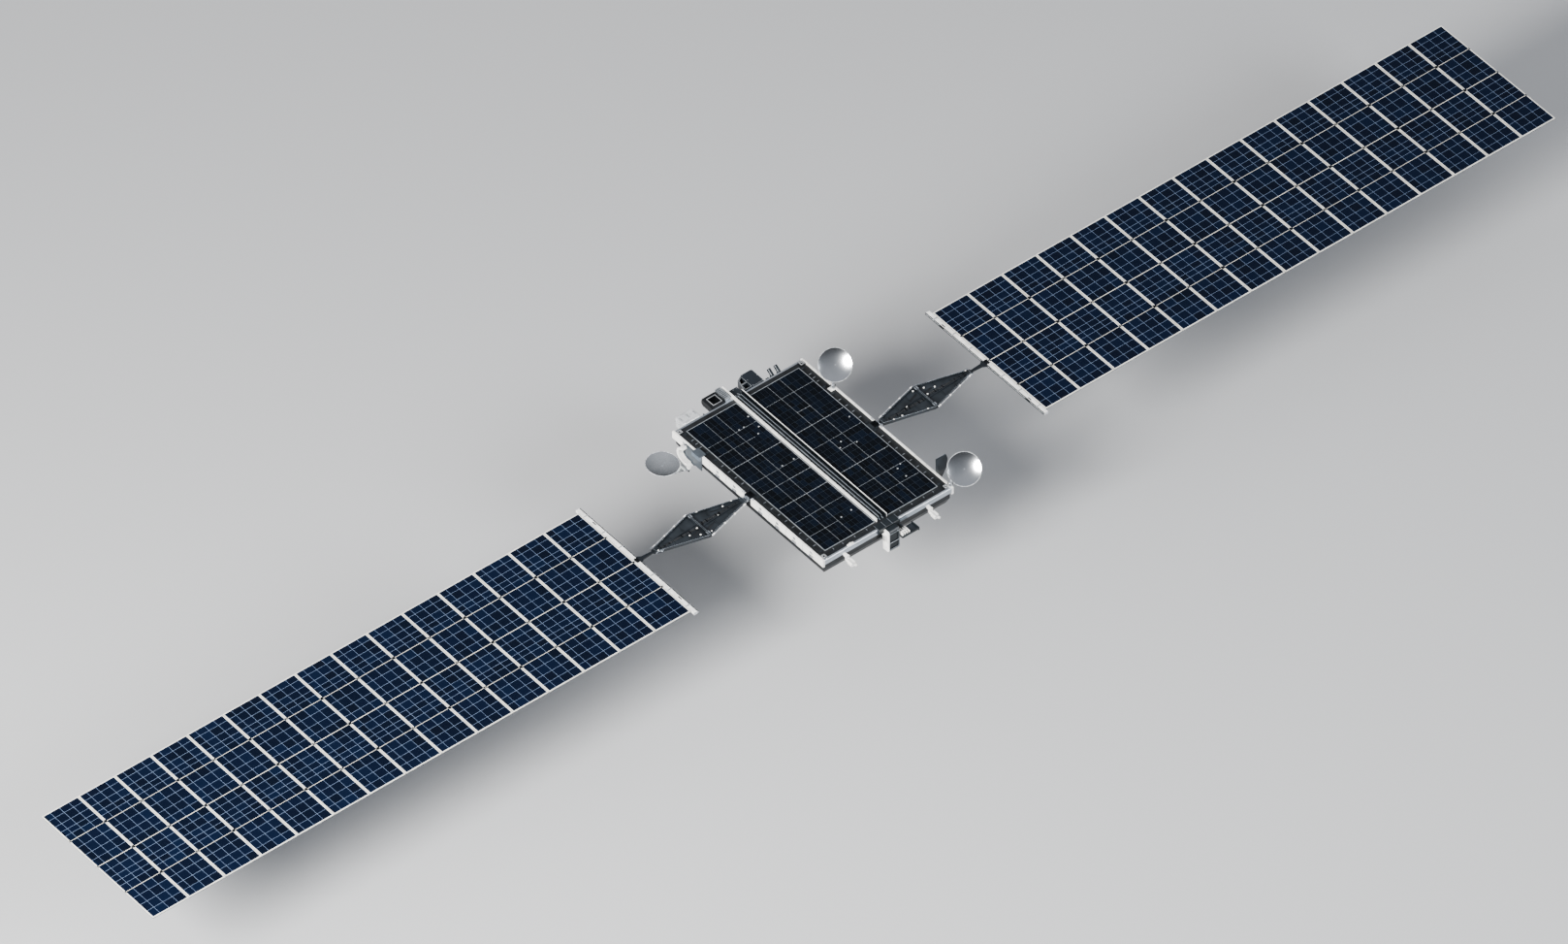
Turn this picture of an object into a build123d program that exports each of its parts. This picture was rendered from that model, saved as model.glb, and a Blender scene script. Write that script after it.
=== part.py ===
from build123d import *
import math
import os

# Flat-deck satellite with two solar wings of hinged boards on folding yokes.
# Millimetres. +X runs along the right wing, +Y to the rear end of the
# bus, +Z up out of the deck. z = 0 is the mid-plane of the wings.

# ---- bus -----------------------------------------------------------------
bus_half_x = 1375.0
bus_half_y = 1970.0
rail_width = 40.0
rail_top = 50.0
side_rail_bottom = -100.0
front_rail_bottom = -60.0
body_inset = 4.0
body_bottom = -318.0
body_taper = 46.0
deck_z = 30.0
seat_gap = 0.3
corner_block = 96.0
stack_hole_radius = 16.0
stack_hole_depth = 120.0
spine_clear = 20.0
deck_side_margin = 149.0
deck_front_margin = 185.0
deck_rear_margin = 138.0
deck_panel_outer = bus_half_x - rail_width - deck_side_margin
deck_panel_front = -bus_half_y + deck_front_margin
deck_panel_rear = bus_half_y - deck_rear_margin
deck_panel_thickness = 12.0
deck_frame_width = 9.0
deck_frame_height = 2.0
nadir_thickness = 24.0
nadir_margin = 90.0
nadir_gap = 14.0
bay_half_length = 250.0
bay_end_margin = 620.0
bay_pitch = 650.0
port_half_width = 40.0
port_side_margin = 435.0
port_inner_x = (-320.0, 430.0)

# ---- spine on the deck ---------------------------------------------------
spine_front_margin = 175.0
spine_rear_overhang = 15.0
spine_front = -bus_half_y + spine_front_margin
spine_rear = bus_half_y + spine_rear_overhang
spine_half_width = 112.0
spine_base_thickness = 8.0
spine_rail_width = 20.0
spine_rail_height = 62.0
spine_inner_offset = 30.0
spine_inner_height = 40.0
spine_tail = 255.0

# ---- wings ---------------------------------------------------------------
panel_count = 15
fold_pitch = 735.0
wing_width = 2940.0
panel_thickness = 22.0
fold_gap = 12.0
axis_proud = 5.0
edge_frame_width = 18.0
cell_recess = 1.2
hinge_stations = (-735.0, 0.0, 735.0)
knuckle_radius = 5.5
knuckle_width = 24.0
knuckle_side_gap = 0.6
outer_knuckle_width = 15.0
leaf_length = 26.0
leaf_thickness = 4.0
panel_pin_radius = 2.4
pin_clearance = 0.08

# ---- yoke ----------------------------------------------------------------
yoke_root_stand = 50.0
yoke_root_x = bus_half_x + yoke_root_stand
yoke_link = 960.0
yoke_thickness = 60.0
yoke_elbow_drop = 35.0
yoke_root_half_width = 62.0
yoke_elbow_half_width = 308.0
yoke_tip_half_width = 46.0
yoke_rim = 22.0
yoke_floor = 6.0
yoke_elbow_gap = 5.0
yoke_pin_radius = 9.0
yoke_knuckle_radius = 15.0
yoke_knuckle_width = 36.0
yoke_side_knuckle = 20.0
yoke_knuckle_inset = 70.0
knuckle_relief = 2.0
strut_radius = 12.0
strut_end_radius = 18.0
strut_rise = 16.0

# ---- root bar ------------------------------------------------------------
bar_stand = 295.0
bar_width = 89.0
bar_half_length = 1545.0
bar_depth = 42.0
bar_wall = 5.0
bar_slot_y = 1120.0
bar_slot_length = 90.0
bar_inner_x = yoke_root_x + 2 * yoke_link + bar_stand
first_fold_x = bar_inner_x + bar_width + fold_gap / 2

# ---- array drive ---------------------------------------------------------
drive_shaft_radius = 30.0
drive_flange_radius = 52.0
drive_housing_half = 78.0
drive_deck_clear = 10.0
rail_break_half = 84.0

# ---- dishes --------------------------------------------------------------
dish_radius = 285.0
dish_depth = 46.0
dish_skin = 7.0
dish_rim_tube = 7.0
dish_hub_radius = 60.0
dish_eye_radius = 17.0
dish_eye_width = 26.0
dish_pin_radius = 7.0
dish_ear = 12.0
dish_neck_width = 44.0
dish_post = 38.0
turntable_radius = 38.0

# pivot, boresight azimuth and elevation in degrees, neck length past the
# rim, lean of the neck about the boresight, side on which the fork hangs
dish_a_end = 865.0
dish_b_end = 58.0
dish_c_end = 575.0
dish_table = {
    "a": ((bus_half_x - 56, bus_half_y - dish_a_end, rail_top + 54), 231.2, 44.2, 52.0, 6.9, -1),
    "b": ((bus_half_x - 25, -bus_half_y + dish_b_end, rail_top + 54), 231.2, 44.2, 44.0, 45.0, -1),
    "c": ((-bus_half_x - 107, bus_half_y - dish_c_end, -330.0), 306.8, 86.0, 167.0, 0.0, 1),
}
fork_drop = 38.0
turntable_thickness = 10.0
fork_side_gap = 1.2


def box(x0, x1, y0, y1, z0, z1):
    """Axis-aligned block between two corners."""
    return Pos((x0 + x1) / 2, (y0 + y1) / 2, (z0 + z1) / 2) * Box(
        abs(x1 - x0), abs(y1 - y0), abs(z1 - z0)
    )


def rod_x(x0, x1, y, z, r):
    return Pos((x0 + x1) / 2, y, z) * Rot(0, 90, 0) * Cylinder(r, abs(x1 - x0))


def rod_y(x, y0, y1, z, r):
    return Pos(x, (y0 + y1) / 2, z) * Rot(90, 0, 0) * Cylinder(r, abs(y1 - y0))


def rod_z(x, y, z0, z1, r):
    return Pos(x, y, (z0 + z1) / 2) * Cylinder(r, abs(z1 - z0))


def rod_between(p, q, r):
    """Round bar from point p to point q."""
    p = Vector(*p)
    q = Vector(*q)
    d = q - p
    plane = Plane(origin=p, z_dir=d)
    return extrude(plane * Circle(r), amount=d.length)


def prism_z(points, z0, z1):
    """Polygon in plan, pushed up from z0 to z1."""
    face = make_face(Polyline(*[(x, y, z0) for x, y in points], close=True))
    return extrude(face, amount=z1 - z0, dir=(0, 0, 1))


def prism_x(points, x0, x1):
    """Polygon in the YZ plane, pushed along X from x0 to x1."""
    face = make_face(Polyline(*[(x0, y, z) for y, z in points], close=True))
    return extrude(face, amount=x1 - x0, dir=(1, 0, 0))


def prism_y(points, y0, y1):
    """Polygon in the XZ plane, pushed along Y from y0 to y1."""
    face = make_face(Polyline(*[(x, y0, z) for x, z in points], close=True))
    return extrude(face, amount=y1 - y0, dir=(0, 1, 0))


def half_turn(shape):
    """The left-hand wing is the right-hand one turned half round the mast line."""
    return Rot(0, 0, 180) * shape


def solids_of(shape):
    if isinstance(shape, (list, tuple)):
        found = []
        for item in shape:
            found.extend(solids_of(item))
        return found
    return list(shape.solids())


def save(name, shape):
    export_step(Compound(children=solids_of(shape)), f"parts/{name}.step")


def drive_inner_x():
    """Inboard wall of the pocket that holds an array drive."""
    return deck_panel_outer + drive_deck_clear


# ---- bus body and rails --------------------------------------------------
def make_bus_body():
    hx = bus_half_x - rail_width - seat_gap
    hy = bus_half_y - rail_width - seat_gap
    low_x = hx - body_inset
    low_y = hy - body_inset
    upper = box(-hx, hx, -hy, hy, side_rail_bottom, deck_z)
    keel_mid = (side_rail_bottom + body_bottom) / 2
    low = box(-low_x, low_x, -low_y, low_y, keel_mid, side_rail_bottom)
    tip_x = low_x - body_taper
    tip_y = low_y - body_taper
    bottom = Plane.XY.offset(body_bottom) * Rectangle(2 * tip_x, 2 * tip_y)
    middle = Plane.XY.offset(keel_mid) * Rectangle(2 * low_x, 2 * low_y)
    body = upper + low + loft([bottom, middle])
    # shallow bays along both long sides
    outer_bay = bus_half_y - bay_end_margin
    inner_bay = outer_bay - bay_pitch
    for side in (-1, 1):
        for y in (-outer_bay, -inner_bay, inner_bay, outer_bay):
            x_wall = side * low_x
            bay = box(
                x_wall - 8, x_wall + 8, y - bay_half_length, y + bay_half_length,
                keel_mid + 12, side_rail_bottom - 14,
            )
            body -= bay
    # corner blocks that carry the launch stack tension rods
    for sx in (-1, 1):
        for sy in (-1, 1):
            cx = sx * (hx - corner_block / 2)
            cy = sy * (hy - corner_block / 2)
            half = corner_block / 2
            body += box(
                cx - half, cx + half, cy - half, cy + half,
                deck_z, rail_top - 2,
            )
            body -= rod_z(
                cx, cy, rail_top - 2 - stack_hole_depth, rail_top,
                stack_hole_radius,
            )
    # pockets for the two array drives
    for side in (-1, 1):
        body -= box(
            side * drive_inner_x(), side * (hx + 5),
            -drive_housing_half - seat_gap, drive_housing_half + seat_gap,
            side_rail_bottom, deck_z + 1,
        )
    return body


def make_side_rails():
    rails = []
    x0 = bus_half_x - rail_width
    y_end = bus_half_y
    for side in (-1, 1):
        for y0, y1 in ((-y_end, -rail_break_half), (rail_break_half, y_end)):
            rail = box(
                side * x0, side * bus_half_x, y0, y1,
                side_rail_bottom, rail_top,
            )
            outer = rail.edges().filter_by(Axis.Y).sort_by(Axis.X)
            outer = outer[-2:] if side > 0 else outer[:2]
            rail = chamfer(outer, 5)
            # lightening channel along the inner foot of the rail
            groove = box(
                side * (bus_half_x - 6), side * (bus_half_x + 1),
                y0 + 60, y1 - 60, -34, -22,
            )
            rail -= groove
            # square sockets near both ends of each length
            for y in (y0 + 46, y1 - 46):
                socket = box(
                    side * (bus_half_x - 10), side * (bus_half_x + 1),
                    y - 16, y + 16, 2, 34,
                )
                rail -= socket
            rails.append(rail)
    return rails


def make_end_rails():
    x_end = bus_half_x - rail_width - seat_gap
    y_in = bus_half_y - rail_width
    front = box(-x_end, x_end, -bus_half_y, -y_in, front_rail_bottom, rail_top)
    front = chamfer(front.edges().filter_by(Axis.X).sort_by(Axis.Y)[:2], 5)
    front -= box(-x_end + 80, x_end - 80, -bus_half_y - 1, -bus_half_y + 5, -14, 2)
    rear = box(-x_end, x_end, y_in, bus_half_y, side_rail_bottom, deck_z)
    rear = chamfer(rear.edges().filter_by(Axis.X).sort_by(Axis.Y)[-2:], 8)
    # cable port notches in the rear beam
    port_x = x_end + seat_gap - port_side_margin
    for x in (-port_x, *port_inner_x, port_x):
        rear -= box(
            x - port_half_width, x + port_half_width,
            bus_half_y - 10, bus_half_y + 1, -60, -20,
        )
    return [front, rear]


def make_deck_panels():
    panels = []
    z0 = deck_z + seat_gap
    for side in (-1, 1):
        inner_x = spine_half_width + spine_clear
        x0, x1 = sorted((side * inner_x, side * deck_panel_outer))
        board = box(
            x0, x1, deck_panel_front, deck_panel_rear,
            z0, z0 + deck_panel_thickness,
        )
        inner = box(
            x0 + deck_frame_width, x1 - deck_frame_width,
            deck_panel_front + deck_frame_width,
            deck_panel_rear - deck_frame_width,
            z0 + deck_panel_thickness - deck_frame_height,
            z0 + deck_panel_thickness + 1,
        )
        panels.append(board - inner)
    return panels


def make_spine():
    z0 = deck_z + seat_gap
    z1 = z0 + spine_base_thickness
    base = box(
        -spine_half_width, spine_half_width,
        spine_front, spine_rear, z0, z1,
    )
    outer = spine_half_width - spine_rail_width
    z_top = z1 + spine_rail_height
    spine = base
    for side in (-1, 1):
        tail = spine_tail if side < 0 else 0.0
        rail = box(
            side * outer, side * spine_half_width,
            spine_front, spine_rear + tail, z1, z_top,
        )
        if tail:
            rail += box(
                side * outer, side * spine_half_width,
                spine_rear, spine_rear + tail, z0, z1,
            )
        spine += rail
        inner = box(
            side * (spine_inner_offset - 7), side * (spine_inner_offset + 7),
            spine_front + 40, spine_rear - 60, z1, z1 + spine_inner_height,
        )
        spine += inner
    # cross ties between the outer rails
    tie_count = 9
    span = spine_rear - spine_front - 200
    for i in range(tie_count):
        y = spine_front + 100 + span * i / (tie_count - 1)
        spine += box(-outer, outer, y - 6, y + 6, z1, z1 + 14)
    return spine


def make_nadir_tiles():
    tip_x = bus_half_x - rail_width - seat_gap - body_inset - body_taper
    tip_y = bus_half_y - rail_width - seat_gap - body_inset - body_taper
    x_end = tip_x - nadir_margin
    y_end = tip_y - nadir_margin
    z1 = body_bottom - seat_gap
    z0 = z1 - nadir_thickness
    tiles = []
    columns = 2
    rows = 3
    width = (2 * x_end - (columns - 1) * nadir_gap) / columns
    depth = (2 * y_end - (rows - 1) * nadir_gap) / rows
    for i in range(columns):
        for j in range(rows):
            x0 = -x_end + i * (width + nadir_gap)
            y0 = -y_end + j * (depth + nadir_gap)
            tile = box(x0, x0 + width, y0, y0 + depth, z0, z1)
            tile = chamfer(tile.faces().sort_by(Axis.Z)[0].edges(), 8)
            tiles.append(tile)
    return tiles


# ---- array drives --------------------------------------------------------
def make_drive_housing():
    """Fixed motor housing let into the right edge of the deck."""
    hx = bus_half_x - rail_width - seat_gap
    h = drive_housing_half
    body = box(
        drive_inner_x() + seat_gap, bus_half_x, -h, h,
        side_rail_bottom + seat_gap, rail_top - 10,
    )
    body = chamfer(body.faces().sort_by(Axis.X)[-1].edges(), 6)
    body -= rod_x(bus_half_x - 60, bus_half_x + 5, 0, 0, drive_shaft_radius + pin_clearance)
    x0 = drive_inner_x() + 20
    cover = box(x0, hx - 20, -h + 16, h - 16, rail_top - 10, rail_top - 2)
    return body + cover


def make_drive_clevis():
    """Turning head: shaft, flange and the two ears of the yoke root hinge."""
    x_flange = bus_half_x + 1.5
    head = rod_x(bus_half_x - 58, x_flange + 1, 0, 0, drive_shaft_radius)
    head += rod_x(x_flange, x_flange + 12, 0, 0, drive_flange_radius)
    r = yoke_knuckle_radius
    for y0, y1 in ((-52, -32), (32, 52)):
        ear = box(x_flange + 10, yoke_root_x, y0, y1, -r, r)
        ear += rod_y(yoke_root_x, y0, y1, 0, r)
        head += ear
    head += rod_y(yoke_root_x, -58, 58, 0, yoke_pin_radius)
    # six bolt heads on the flange
    for i in range(6):
        a = math.radians(60 * i + 30)
        y = 42 * math.cos(a)
        z = 42 * math.sin(a)
        if abs(z) > r + 6:
            head += rod_x(x_flange + 11, x_flange + 16, y, z, 5)
    return head


# ---- yoke links ----------------------------------------------------------
def tray(outline, inset, holes):
    """Folded sheet tray: full-depth rim, thin floor, slots through the floor."""
    t = yoke_thickness / 2
    body = prism_z(outline, -t, t)
    upper = prism_z(inset, -t + 22 + yoke_floor, t + 1)
    lower = prism_z(inset, -t - 1, -t + 22)
    body = body - upper - lower
    for hole in holes:
        body -= prism_z(hole, -t - 1, t + 1)
    return body


def make_yoke_inner():
    xr = yoke_root_x
    xe = yoke_root_x + yoke_link
    wr = yoke_root_half_width
    we = yoke_elbow_half_width
    x0 = xr + 24
    x1 = xe - yoke_elbow_gap
    rim = yoke_rim
    outline = [(x0, -wr), (x1, -we), (x1, we), (x0, wr)]
    slope = (we - wr) / (x1 - x0)
    xa = x0 + 70
    xb = x1 - rim
    ya = wr + slope * (xa - x0) - rim * 1.05
    yb = wr + slope * (xb - x0) - rim * 1.05
    inset = [(xa, -ya), (xb, -yb), (xb, yb), (xa, ya)]
    holes = [
        [(x1 - 270, 70), (x1 - 60, 120), (x1 - 60, 176), (x1 - 250, 104)],
        [(x1 - 640, -66), (x1 - 330, -150), (x1 - 330, -120), (x1 - 640, -42)],
    ]
    link = tray(outline, inset, holes)
    t = yoke_thickness / 2
    # diagonal stiffening rib and two cross ribs
    rib = prism_z(
        [(xa, -12), (xb, 40), (xb, 58), (xa, 6)], -t + 22, t - 14
    )
    link += rib
    for x in (x0 + 0.42 * (x1 - x0), x0 + 0.72 * (x1 - x0)):
        y = wr + slope * (x - x0) - rim * 0.5
        link += box(x - 5, x + 5, -y, y, -t + 10, t - 20)
    # root barrel between the drive ears
    link += box(xr, x0 + 1, -28, 28, -14, 14)
    link += rod_y(xr, -28, 28, 0, yoke_knuckle_radius)
    link -= rod_y(xr, -60, 60, 0, yoke_pin_radius + pin_clearance)
    # elbow knuckles with their pins, on the underside
    r = yoke_knuckle_radius
    z = -yoke_elbow_drop
    w = yoke_knuckle_width / 2 + knuckle_side_gap
    for side in (-1, 1):
        yc = side * (we - yoke_knuckle_inset)
        link -= rod_y(xe, yc - w, yc + w, z, r + knuckle_relief)
        for dy in (-1, 1):
            y0 = yc + dy * (yoke_knuckle_width / 2 + knuckle_side_gap)
            y1 = y0 + dy * yoke_side_knuckle
            ya2, yb2 = sorted((y0, y1))
            link += rod_y(xe, ya2, yb2, z, r)
            link += box(xe - r - 4, xe, ya2, yb2, z, z + r + 4)
        reach = yoke_knuckle_width / 2 + knuckle_side_gap + yoke_side_knuckle
        link += rod_y(xe, yc - reach, yc + reach, z, yoke_pin_radius)
    return link


def make_yoke_outer():
    xe = yoke_root_x + yoke_link
    xt = yoke_root_x + 2 * yoke_link
    we = yoke_elbow_half_width
    wt = yoke_tip_half_width
    x0 = xe + yoke_elbow_gap
    x1 = xt - 24
    rim = yoke_rim
    outline = [(x0, -we), (x1, -wt), (x1, wt), (x0, we)]
    slope = (we - wt) / (x1 - x0)
    xa = x0 + rim
    xb = x1 - 90
    ya = we - slope * (xa - x0) - rim * 1.05
    yb = we - slope * (xb - x0) - rim * 1.05
    inset = [(xa, -ya), (xb, -yb), (xb, yb), (xa, ya)]
    holes = [
        [(x0 + 60, 60), (x0 + 230, 100), (x0 + 220, 130), (x0 + 60, 130)],
        [(x0 + 250, -20), (x0 + 640, -34), (x0 + 640, -14), (x0 + 250, 14)],
    ]
    link = tray(outline, inset, holes)
    t = yoke_thickness / 2
    rib = prism_z([(xa, -58), (xb, -8), (xb, 8), (xa, -40)], -t + 22, t - 14)
    link += rib
    for x in (x0 + 0.3 * (x1 - x0), x0 + 0.6 * (x1 - x0)):
        y = we - slope * (x - x0) - rim * 0.5
        link += box(x - 5, x + 5, -y, y, -t + 10, t - 20)
    # elbow knuckles, bored for the pins
    r = yoke_knuckle_radius
    z = -yoke_elbow_drop
    w = yoke_knuckle_width / 2
    reach = w + 2 * knuckle_side_gap + yoke_side_knuckle
    for side in (-1, 1):
        yc = side * (we - yoke_knuckle_inset)
        link -= rod_y(xe, yc - reach, yc + reach, z, r + knuckle_relief)
        link += rod_y(xe, yc - w, yc + w, z, r)
        link += box(xe, xe + r + 4, yc - w, yc + w, z, z + r + 4)
        link -= rod_y(xe, yc - 60, yc + 60, z, yoke_pin_radius + pin_clearance)
    # ears of the bar hinge, with the pin
    for y0, y1 in ((-46, -28), (28, 46)):
        link += box(x1 - 30, xt, y0, y1, -r, r)
        link += rod_y(xt, y0, y1, 0, r)
    link += rod_y(xt, -52, 52, 0, yoke_pin_radius)
    return link


def make_strut(p, q):
    """Round edge strut with a ball-shaped end fitting at each end."""
    bar = rod_between(p, q, strut_radius)
    bar += Pos(*p) * Sphere(strut_end_radius)
    bar += Pos(*q) * Sphere(strut_end_radius)
    return bar


def make_strut_inner():
    """Along the +Y edge of the inner link, seated against its rim."""
    xr = yoke_root_x + 24
    xe = yoke_root_x + yoke_link - yoke_elbow_gap
    slope = (yoke_elbow_half_width - yoke_root_half_width) / (xe - xr)
    off = (strut_end_radius + seat_gap) * math.sqrt(1 + slope * slope)
    xa = xr + 45
    xb = xe - 26
    ya = yoke_root_half_width + slope * (xa - xr) + off
    yb = yoke_root_half_width + slope * (xb - xr) + off
    return make_strut((xa, ya, strut_rise), (xb, yb, strut_rise))


def make_strut_outer():
    """Along the -Y edge of the outer link, seated against its rim."""
    xe = yoke_root_x + yoke_link + yoke_elbow_gap
    xt = yoke_root_x + 2 * yoke_link - 24
    slope = (yoke_elbow_half_width - yoke_tip_half_width) / (xt - xe)
    off = (strut_end_radius + seat_gap) * math.sqrt(1 + slope * slope)
    xa = xe + 26
    xb = xt - 30
    ya = yoke_elbow_half_width - slope * (xa - xe) + off
    yb = yoke_elbow_half_width - slope * (xb - xe) + off
    return make_strut((xa, -ya, strut_rise), (xb, -yb, strut_rise))


# ---- root bar ------------------------------------------------------------
def make_root_bar():
    half_gap = fold_gap / 2
    x0 = bar_inner_x
    x1 = first_fold_x - half_gap
    z1 = panel_thickness / 2
    z0 = z1 - bar_depth
    w = bar_wall
    bar = box(x0, x1, -bar_half_length, bar_half_length, z0, z1)
    bar = chamfer(bar.edges().filter_by(Axis.Y).sort_by(Axis.Z)[:2], 5)
    # open channel on the underside
    for y0, y1 in ((-bar_half_length + 30, -60), (60, bar_half_length - 30)):
        bar -= box(x0 + w, x1 - w, y0, y1, z0 - 1, z1 - w)
    # waisted latch bays near both ends
    for side in (-1, 1):
        yc = side * bar_slot_y
        h = bar_slot_length / 2
        bar -= box(x0 - 1, x0 + 14, yc - h, yc + h, z1 - 16, z1 + 1)
        bar -= box(x0 + 30, x0 + 52, yc - h, yc + h, z1 - 3, z1 + 1)
    # lug from the bar to the last yoke hinge
    xt = yoke_root_x + 2 * yoke_link
    r = yoke_knuckle_radius
    lug = prism_z(
        [(xt + 40, -22), (x0 - 70, -34), (x0, -84), (x0, 84), (x0 - 70, 34), (xt + 40, 22)],
        -r, z1,
    )
    lug += box(xt, xt + 41, -22, 22, -r + 2, z1)
    lug += rod_y(xt, -22, 22, 0, r)
    lug -= rod_y(xt, -60, 60, 0, yoke_pin_radius + pin_clearance)
    bar += lug
    bar += panel_hinge_parent(first_fold_x, 1)
    return bar


# ---- wing panels ---------------------------------------------------------
def hinge_axis_z(side):
    """Height of a fold axis: proud of the top face (1) or the underside (-1)."""
    return side * (panel_thickness / 2 + axis_proud)


def leaf(x_from, x_to, y0, y1, side):
    face = panel_thickness / 2
    za, zb = sorted((side * face, side * (face + leaf_thickness)))
    return box(x_from, x_to, y0, y1, za, zb)


def panel_hinge_parent(x, side):
    """Outer knuckles and pins on the outboard edge of a panel or of the bar."""
    z = hinge_axis_z(side)
    half = knuckle_width / 2 + knuckle_side_gap
    pieces = None
    for y in hinge_stations:
        for s in (-1, 1):
            y0, y1 = sorted((y + s * half, y + s * (half + outer_knuckle_width)))
            knuckle = rod_y(x, y0, y1, z, knuckle_radius)
            knuckle += leaf(x - fold_gap / 2 - leaf_length, x, y0, y1, side)
            pieces = knuckle if pieces is None else pieces + knuckle
        reach = half + outer_knuckle_width
        pieces += rod_y(x, y - reach, y + reach, z, panel_pin_radius)
    return pieces


def panel_hinge_child(x, side):
    """Middle knuckles, bored, on the inboard edge of a panel."""
    z = hinge_axis_z(side)
    half = knuckle_width / 2
    pieces = None
    for y in hinge_stations:
        knuckle = rod_y(x, y - half, y + half, z, knuckle_radius)
        knuckle += leaf(x, x + fold_gap / 2 + leaf_length, y - half, y + half, side)
        knuckle -= rod_y(x, y - half - 1, y + half + 1, z, panel_pin_radius + pin_clearance)
        pieces = knuckle if pieces is None else pieces + knuckle
    return pieces


def make_panel(index):
    """Panel index 1..panel_count of the right wing."""
    xa = first_fold_x + (index - 1) * fold_pitch
    xb = xa + fold_pitch
    x0 = xa + fold_gap / 2
    x1 = xb - fold_gap / 2
    hy = wing_width / 2
    t = panel_thickness / 2
    board = box(x0, x1, -hy, hy, -t, t)
    f = edge_frame_width
    board -= box(x0 + f, x1 - f, -hy + f, hy - f, t - cell_recess, t + 1)
    inboard = 1 if index % 2 == 1 else -1
    board += panel_hinge_child(xa, inboard)
    if index < panel_count:
        board += panel_hinge_parent(xb, -inboard)
    return board


# ---- dishes --------------------------------------------------------------
def dish_place(name):
    """Local frame at the pivot: x along the tilt axis, z along the boresight."""
    pivot, azimuth, elevation = dish_table[name][:3]
    a = math.radians(azimuth)
    e = math.radians(elevation)
    bore = (math.cos(a) * math.cos(e), math.sin(a) * math.cos(e), math.sin(e))
    tilt = (-math.sin(a), math.cos(a), 0)
    return Plane(origin=pivot, x_dir=tilt, z_dir=bore)


def bowl():
    """Shallow spherical bowl, rim plane at z = 0, opening to +z."""
    r = dish_radius
    d = dish_depth
    s = dish_skin
    sphere_r = (r * r + d * d) / (2 * d)
    mid = r * 0.5
    z_mid = sphere_r - d - math.sqrt(sphere_r * sphere_r - mid * mid)
    inner = ThreePointArc((0, 0, -d), (mid, 0, z_mid), (r, 0, 0))
    outer = ThreePointArc((0, 0, -d - s), (mid, 0, z_mid - s), (r, 0, -s))
    top = Line((r, 0, 0), (r, 0, -s))
    left = Line((0, 0, -d), (0, 0, -d - s))
    shell = revolve(make_face([inner, top, outer, left]), Axis.Z, 360)
    ring = Pos(0, 0, -s / 2) * Torus(r + 1, dish_rim_tube)
    return shell + ring


def make_reflector(name):
    neck, lean = dish_table[name][3:5]
    reach = dish_radius + neck
    a = math.radians(lean)
    cx = reach * math.sin(a)
    cy = reach * math.cos(a)
    d = dish_depth
    s = dish_skin
    dish = Pos(cx, cy, 0) * bowl()
    hub_depth = 34
    dish += Pos(cx, cy, -d - s / 2 - hub_depth / 2) * Cylinder(dish_hub_radius, hub_depth)
    # arm under the bowl from the hub to the top of the eye post
    start = Vector(0, dish_post, 0)
    end = Vector(cx, cy, -d - s / 2 - hub_depth / 2 - 6)
    run = end - start
    side = Vector(cy - dish_post, -cx, 0).normalized()
    thin = Plane(origin=start, x_dir=side, z_dir=run) * Rectangle(dish_eye_width - 2, 14)
    wide = Plane(origin=end, x_dir=side, z_dir=run) * Rectangle(dish_neck_width * 1.6, 18)
    dish += loft([thin, wide])
    post = Pos(0, dish_post / 2 + 4, 0) * Box(dish_eye_width - 2, dish_post + 8, 14)
    eye = Rot(0, 90, 0) * Cylinder(dish_eye_radius, dish_eye_width)
    dish += post + eye
    if neck > dish_radius / 2:
        # long necks flare into the rim as a teardrop
        t = math.asin(dish_radius / reach)
        f = reach * math.cos(t) * 0.97
        tx = f * math.sin(t) * 0.9
        ty = f * math.cos(t)
        lip = make_face(
            Polyline(
                (-11, dish_post - 4, -s), (11, dish_post - 4, -s),
                (tx, ty, -s), (-tx, ty, -s), close=True,
            )
        )
        lip = extrude(lip, amount=s, dir=(0, 0, 1))
        lip -= Pos(cx, cy, -s) * Cylinder(dish_radius - 2, 4 * s)
        dish += lip
    dish -= Rot(0, 90, 0) * Cylinder(dish_pin_radius + pin_clearance, dish_eye_width + 4)
    return dish_place(name).location * dish


def make_gimbal(name):
    """Turntable with a fork that holds the dish eye; its pin is part of it."""
    pivot, azimuth = dish_table[name][:2]
    hang = dish_table[name][5]
    a = math.radians(azimuth)
    flat = Plane(origin=pivot, x_dir=(-math.sin(a), math.cos(a), 0), z_dir=(0, 0, 1))
    w = dish_eye_width / 2
    drop = hang * fork_drop
    fork = None
    for s in (-1, 1):
        x0, x1 = sorted((s * (w + fork_side_gap), s * (w + fork_side_gap + dish_ear)))
        z0, z1 = sorted((0.0, drop))
        ear = box(x0, x1, -dish_eye_radius, dish_eye_radius, z0, z1)
        ear += rod_x(x0, x1, 0, 0, dish_eye_radius)
        fork = ear if fork is None else fork + ear
    pin_end = w + fork_side_gap + dish_ear + 4
    fork += rod_x(-pin_end, pin_end, 0, 0, dish_pin_radius)
    z0, z1 = sorted((drop, drop + hang * turntable_thickness))
    fork += rod_z(0, 0, z0, z1, turntable_radius)
    return flat.location * fork


def dish_seat_z(name):
    """Face on which a turntable runs."""
    hang = dish_table[name][5]
    return dish_table[name][0][2] + hang * (fork_drop + turntable_thickness + seat_gap)


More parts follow.
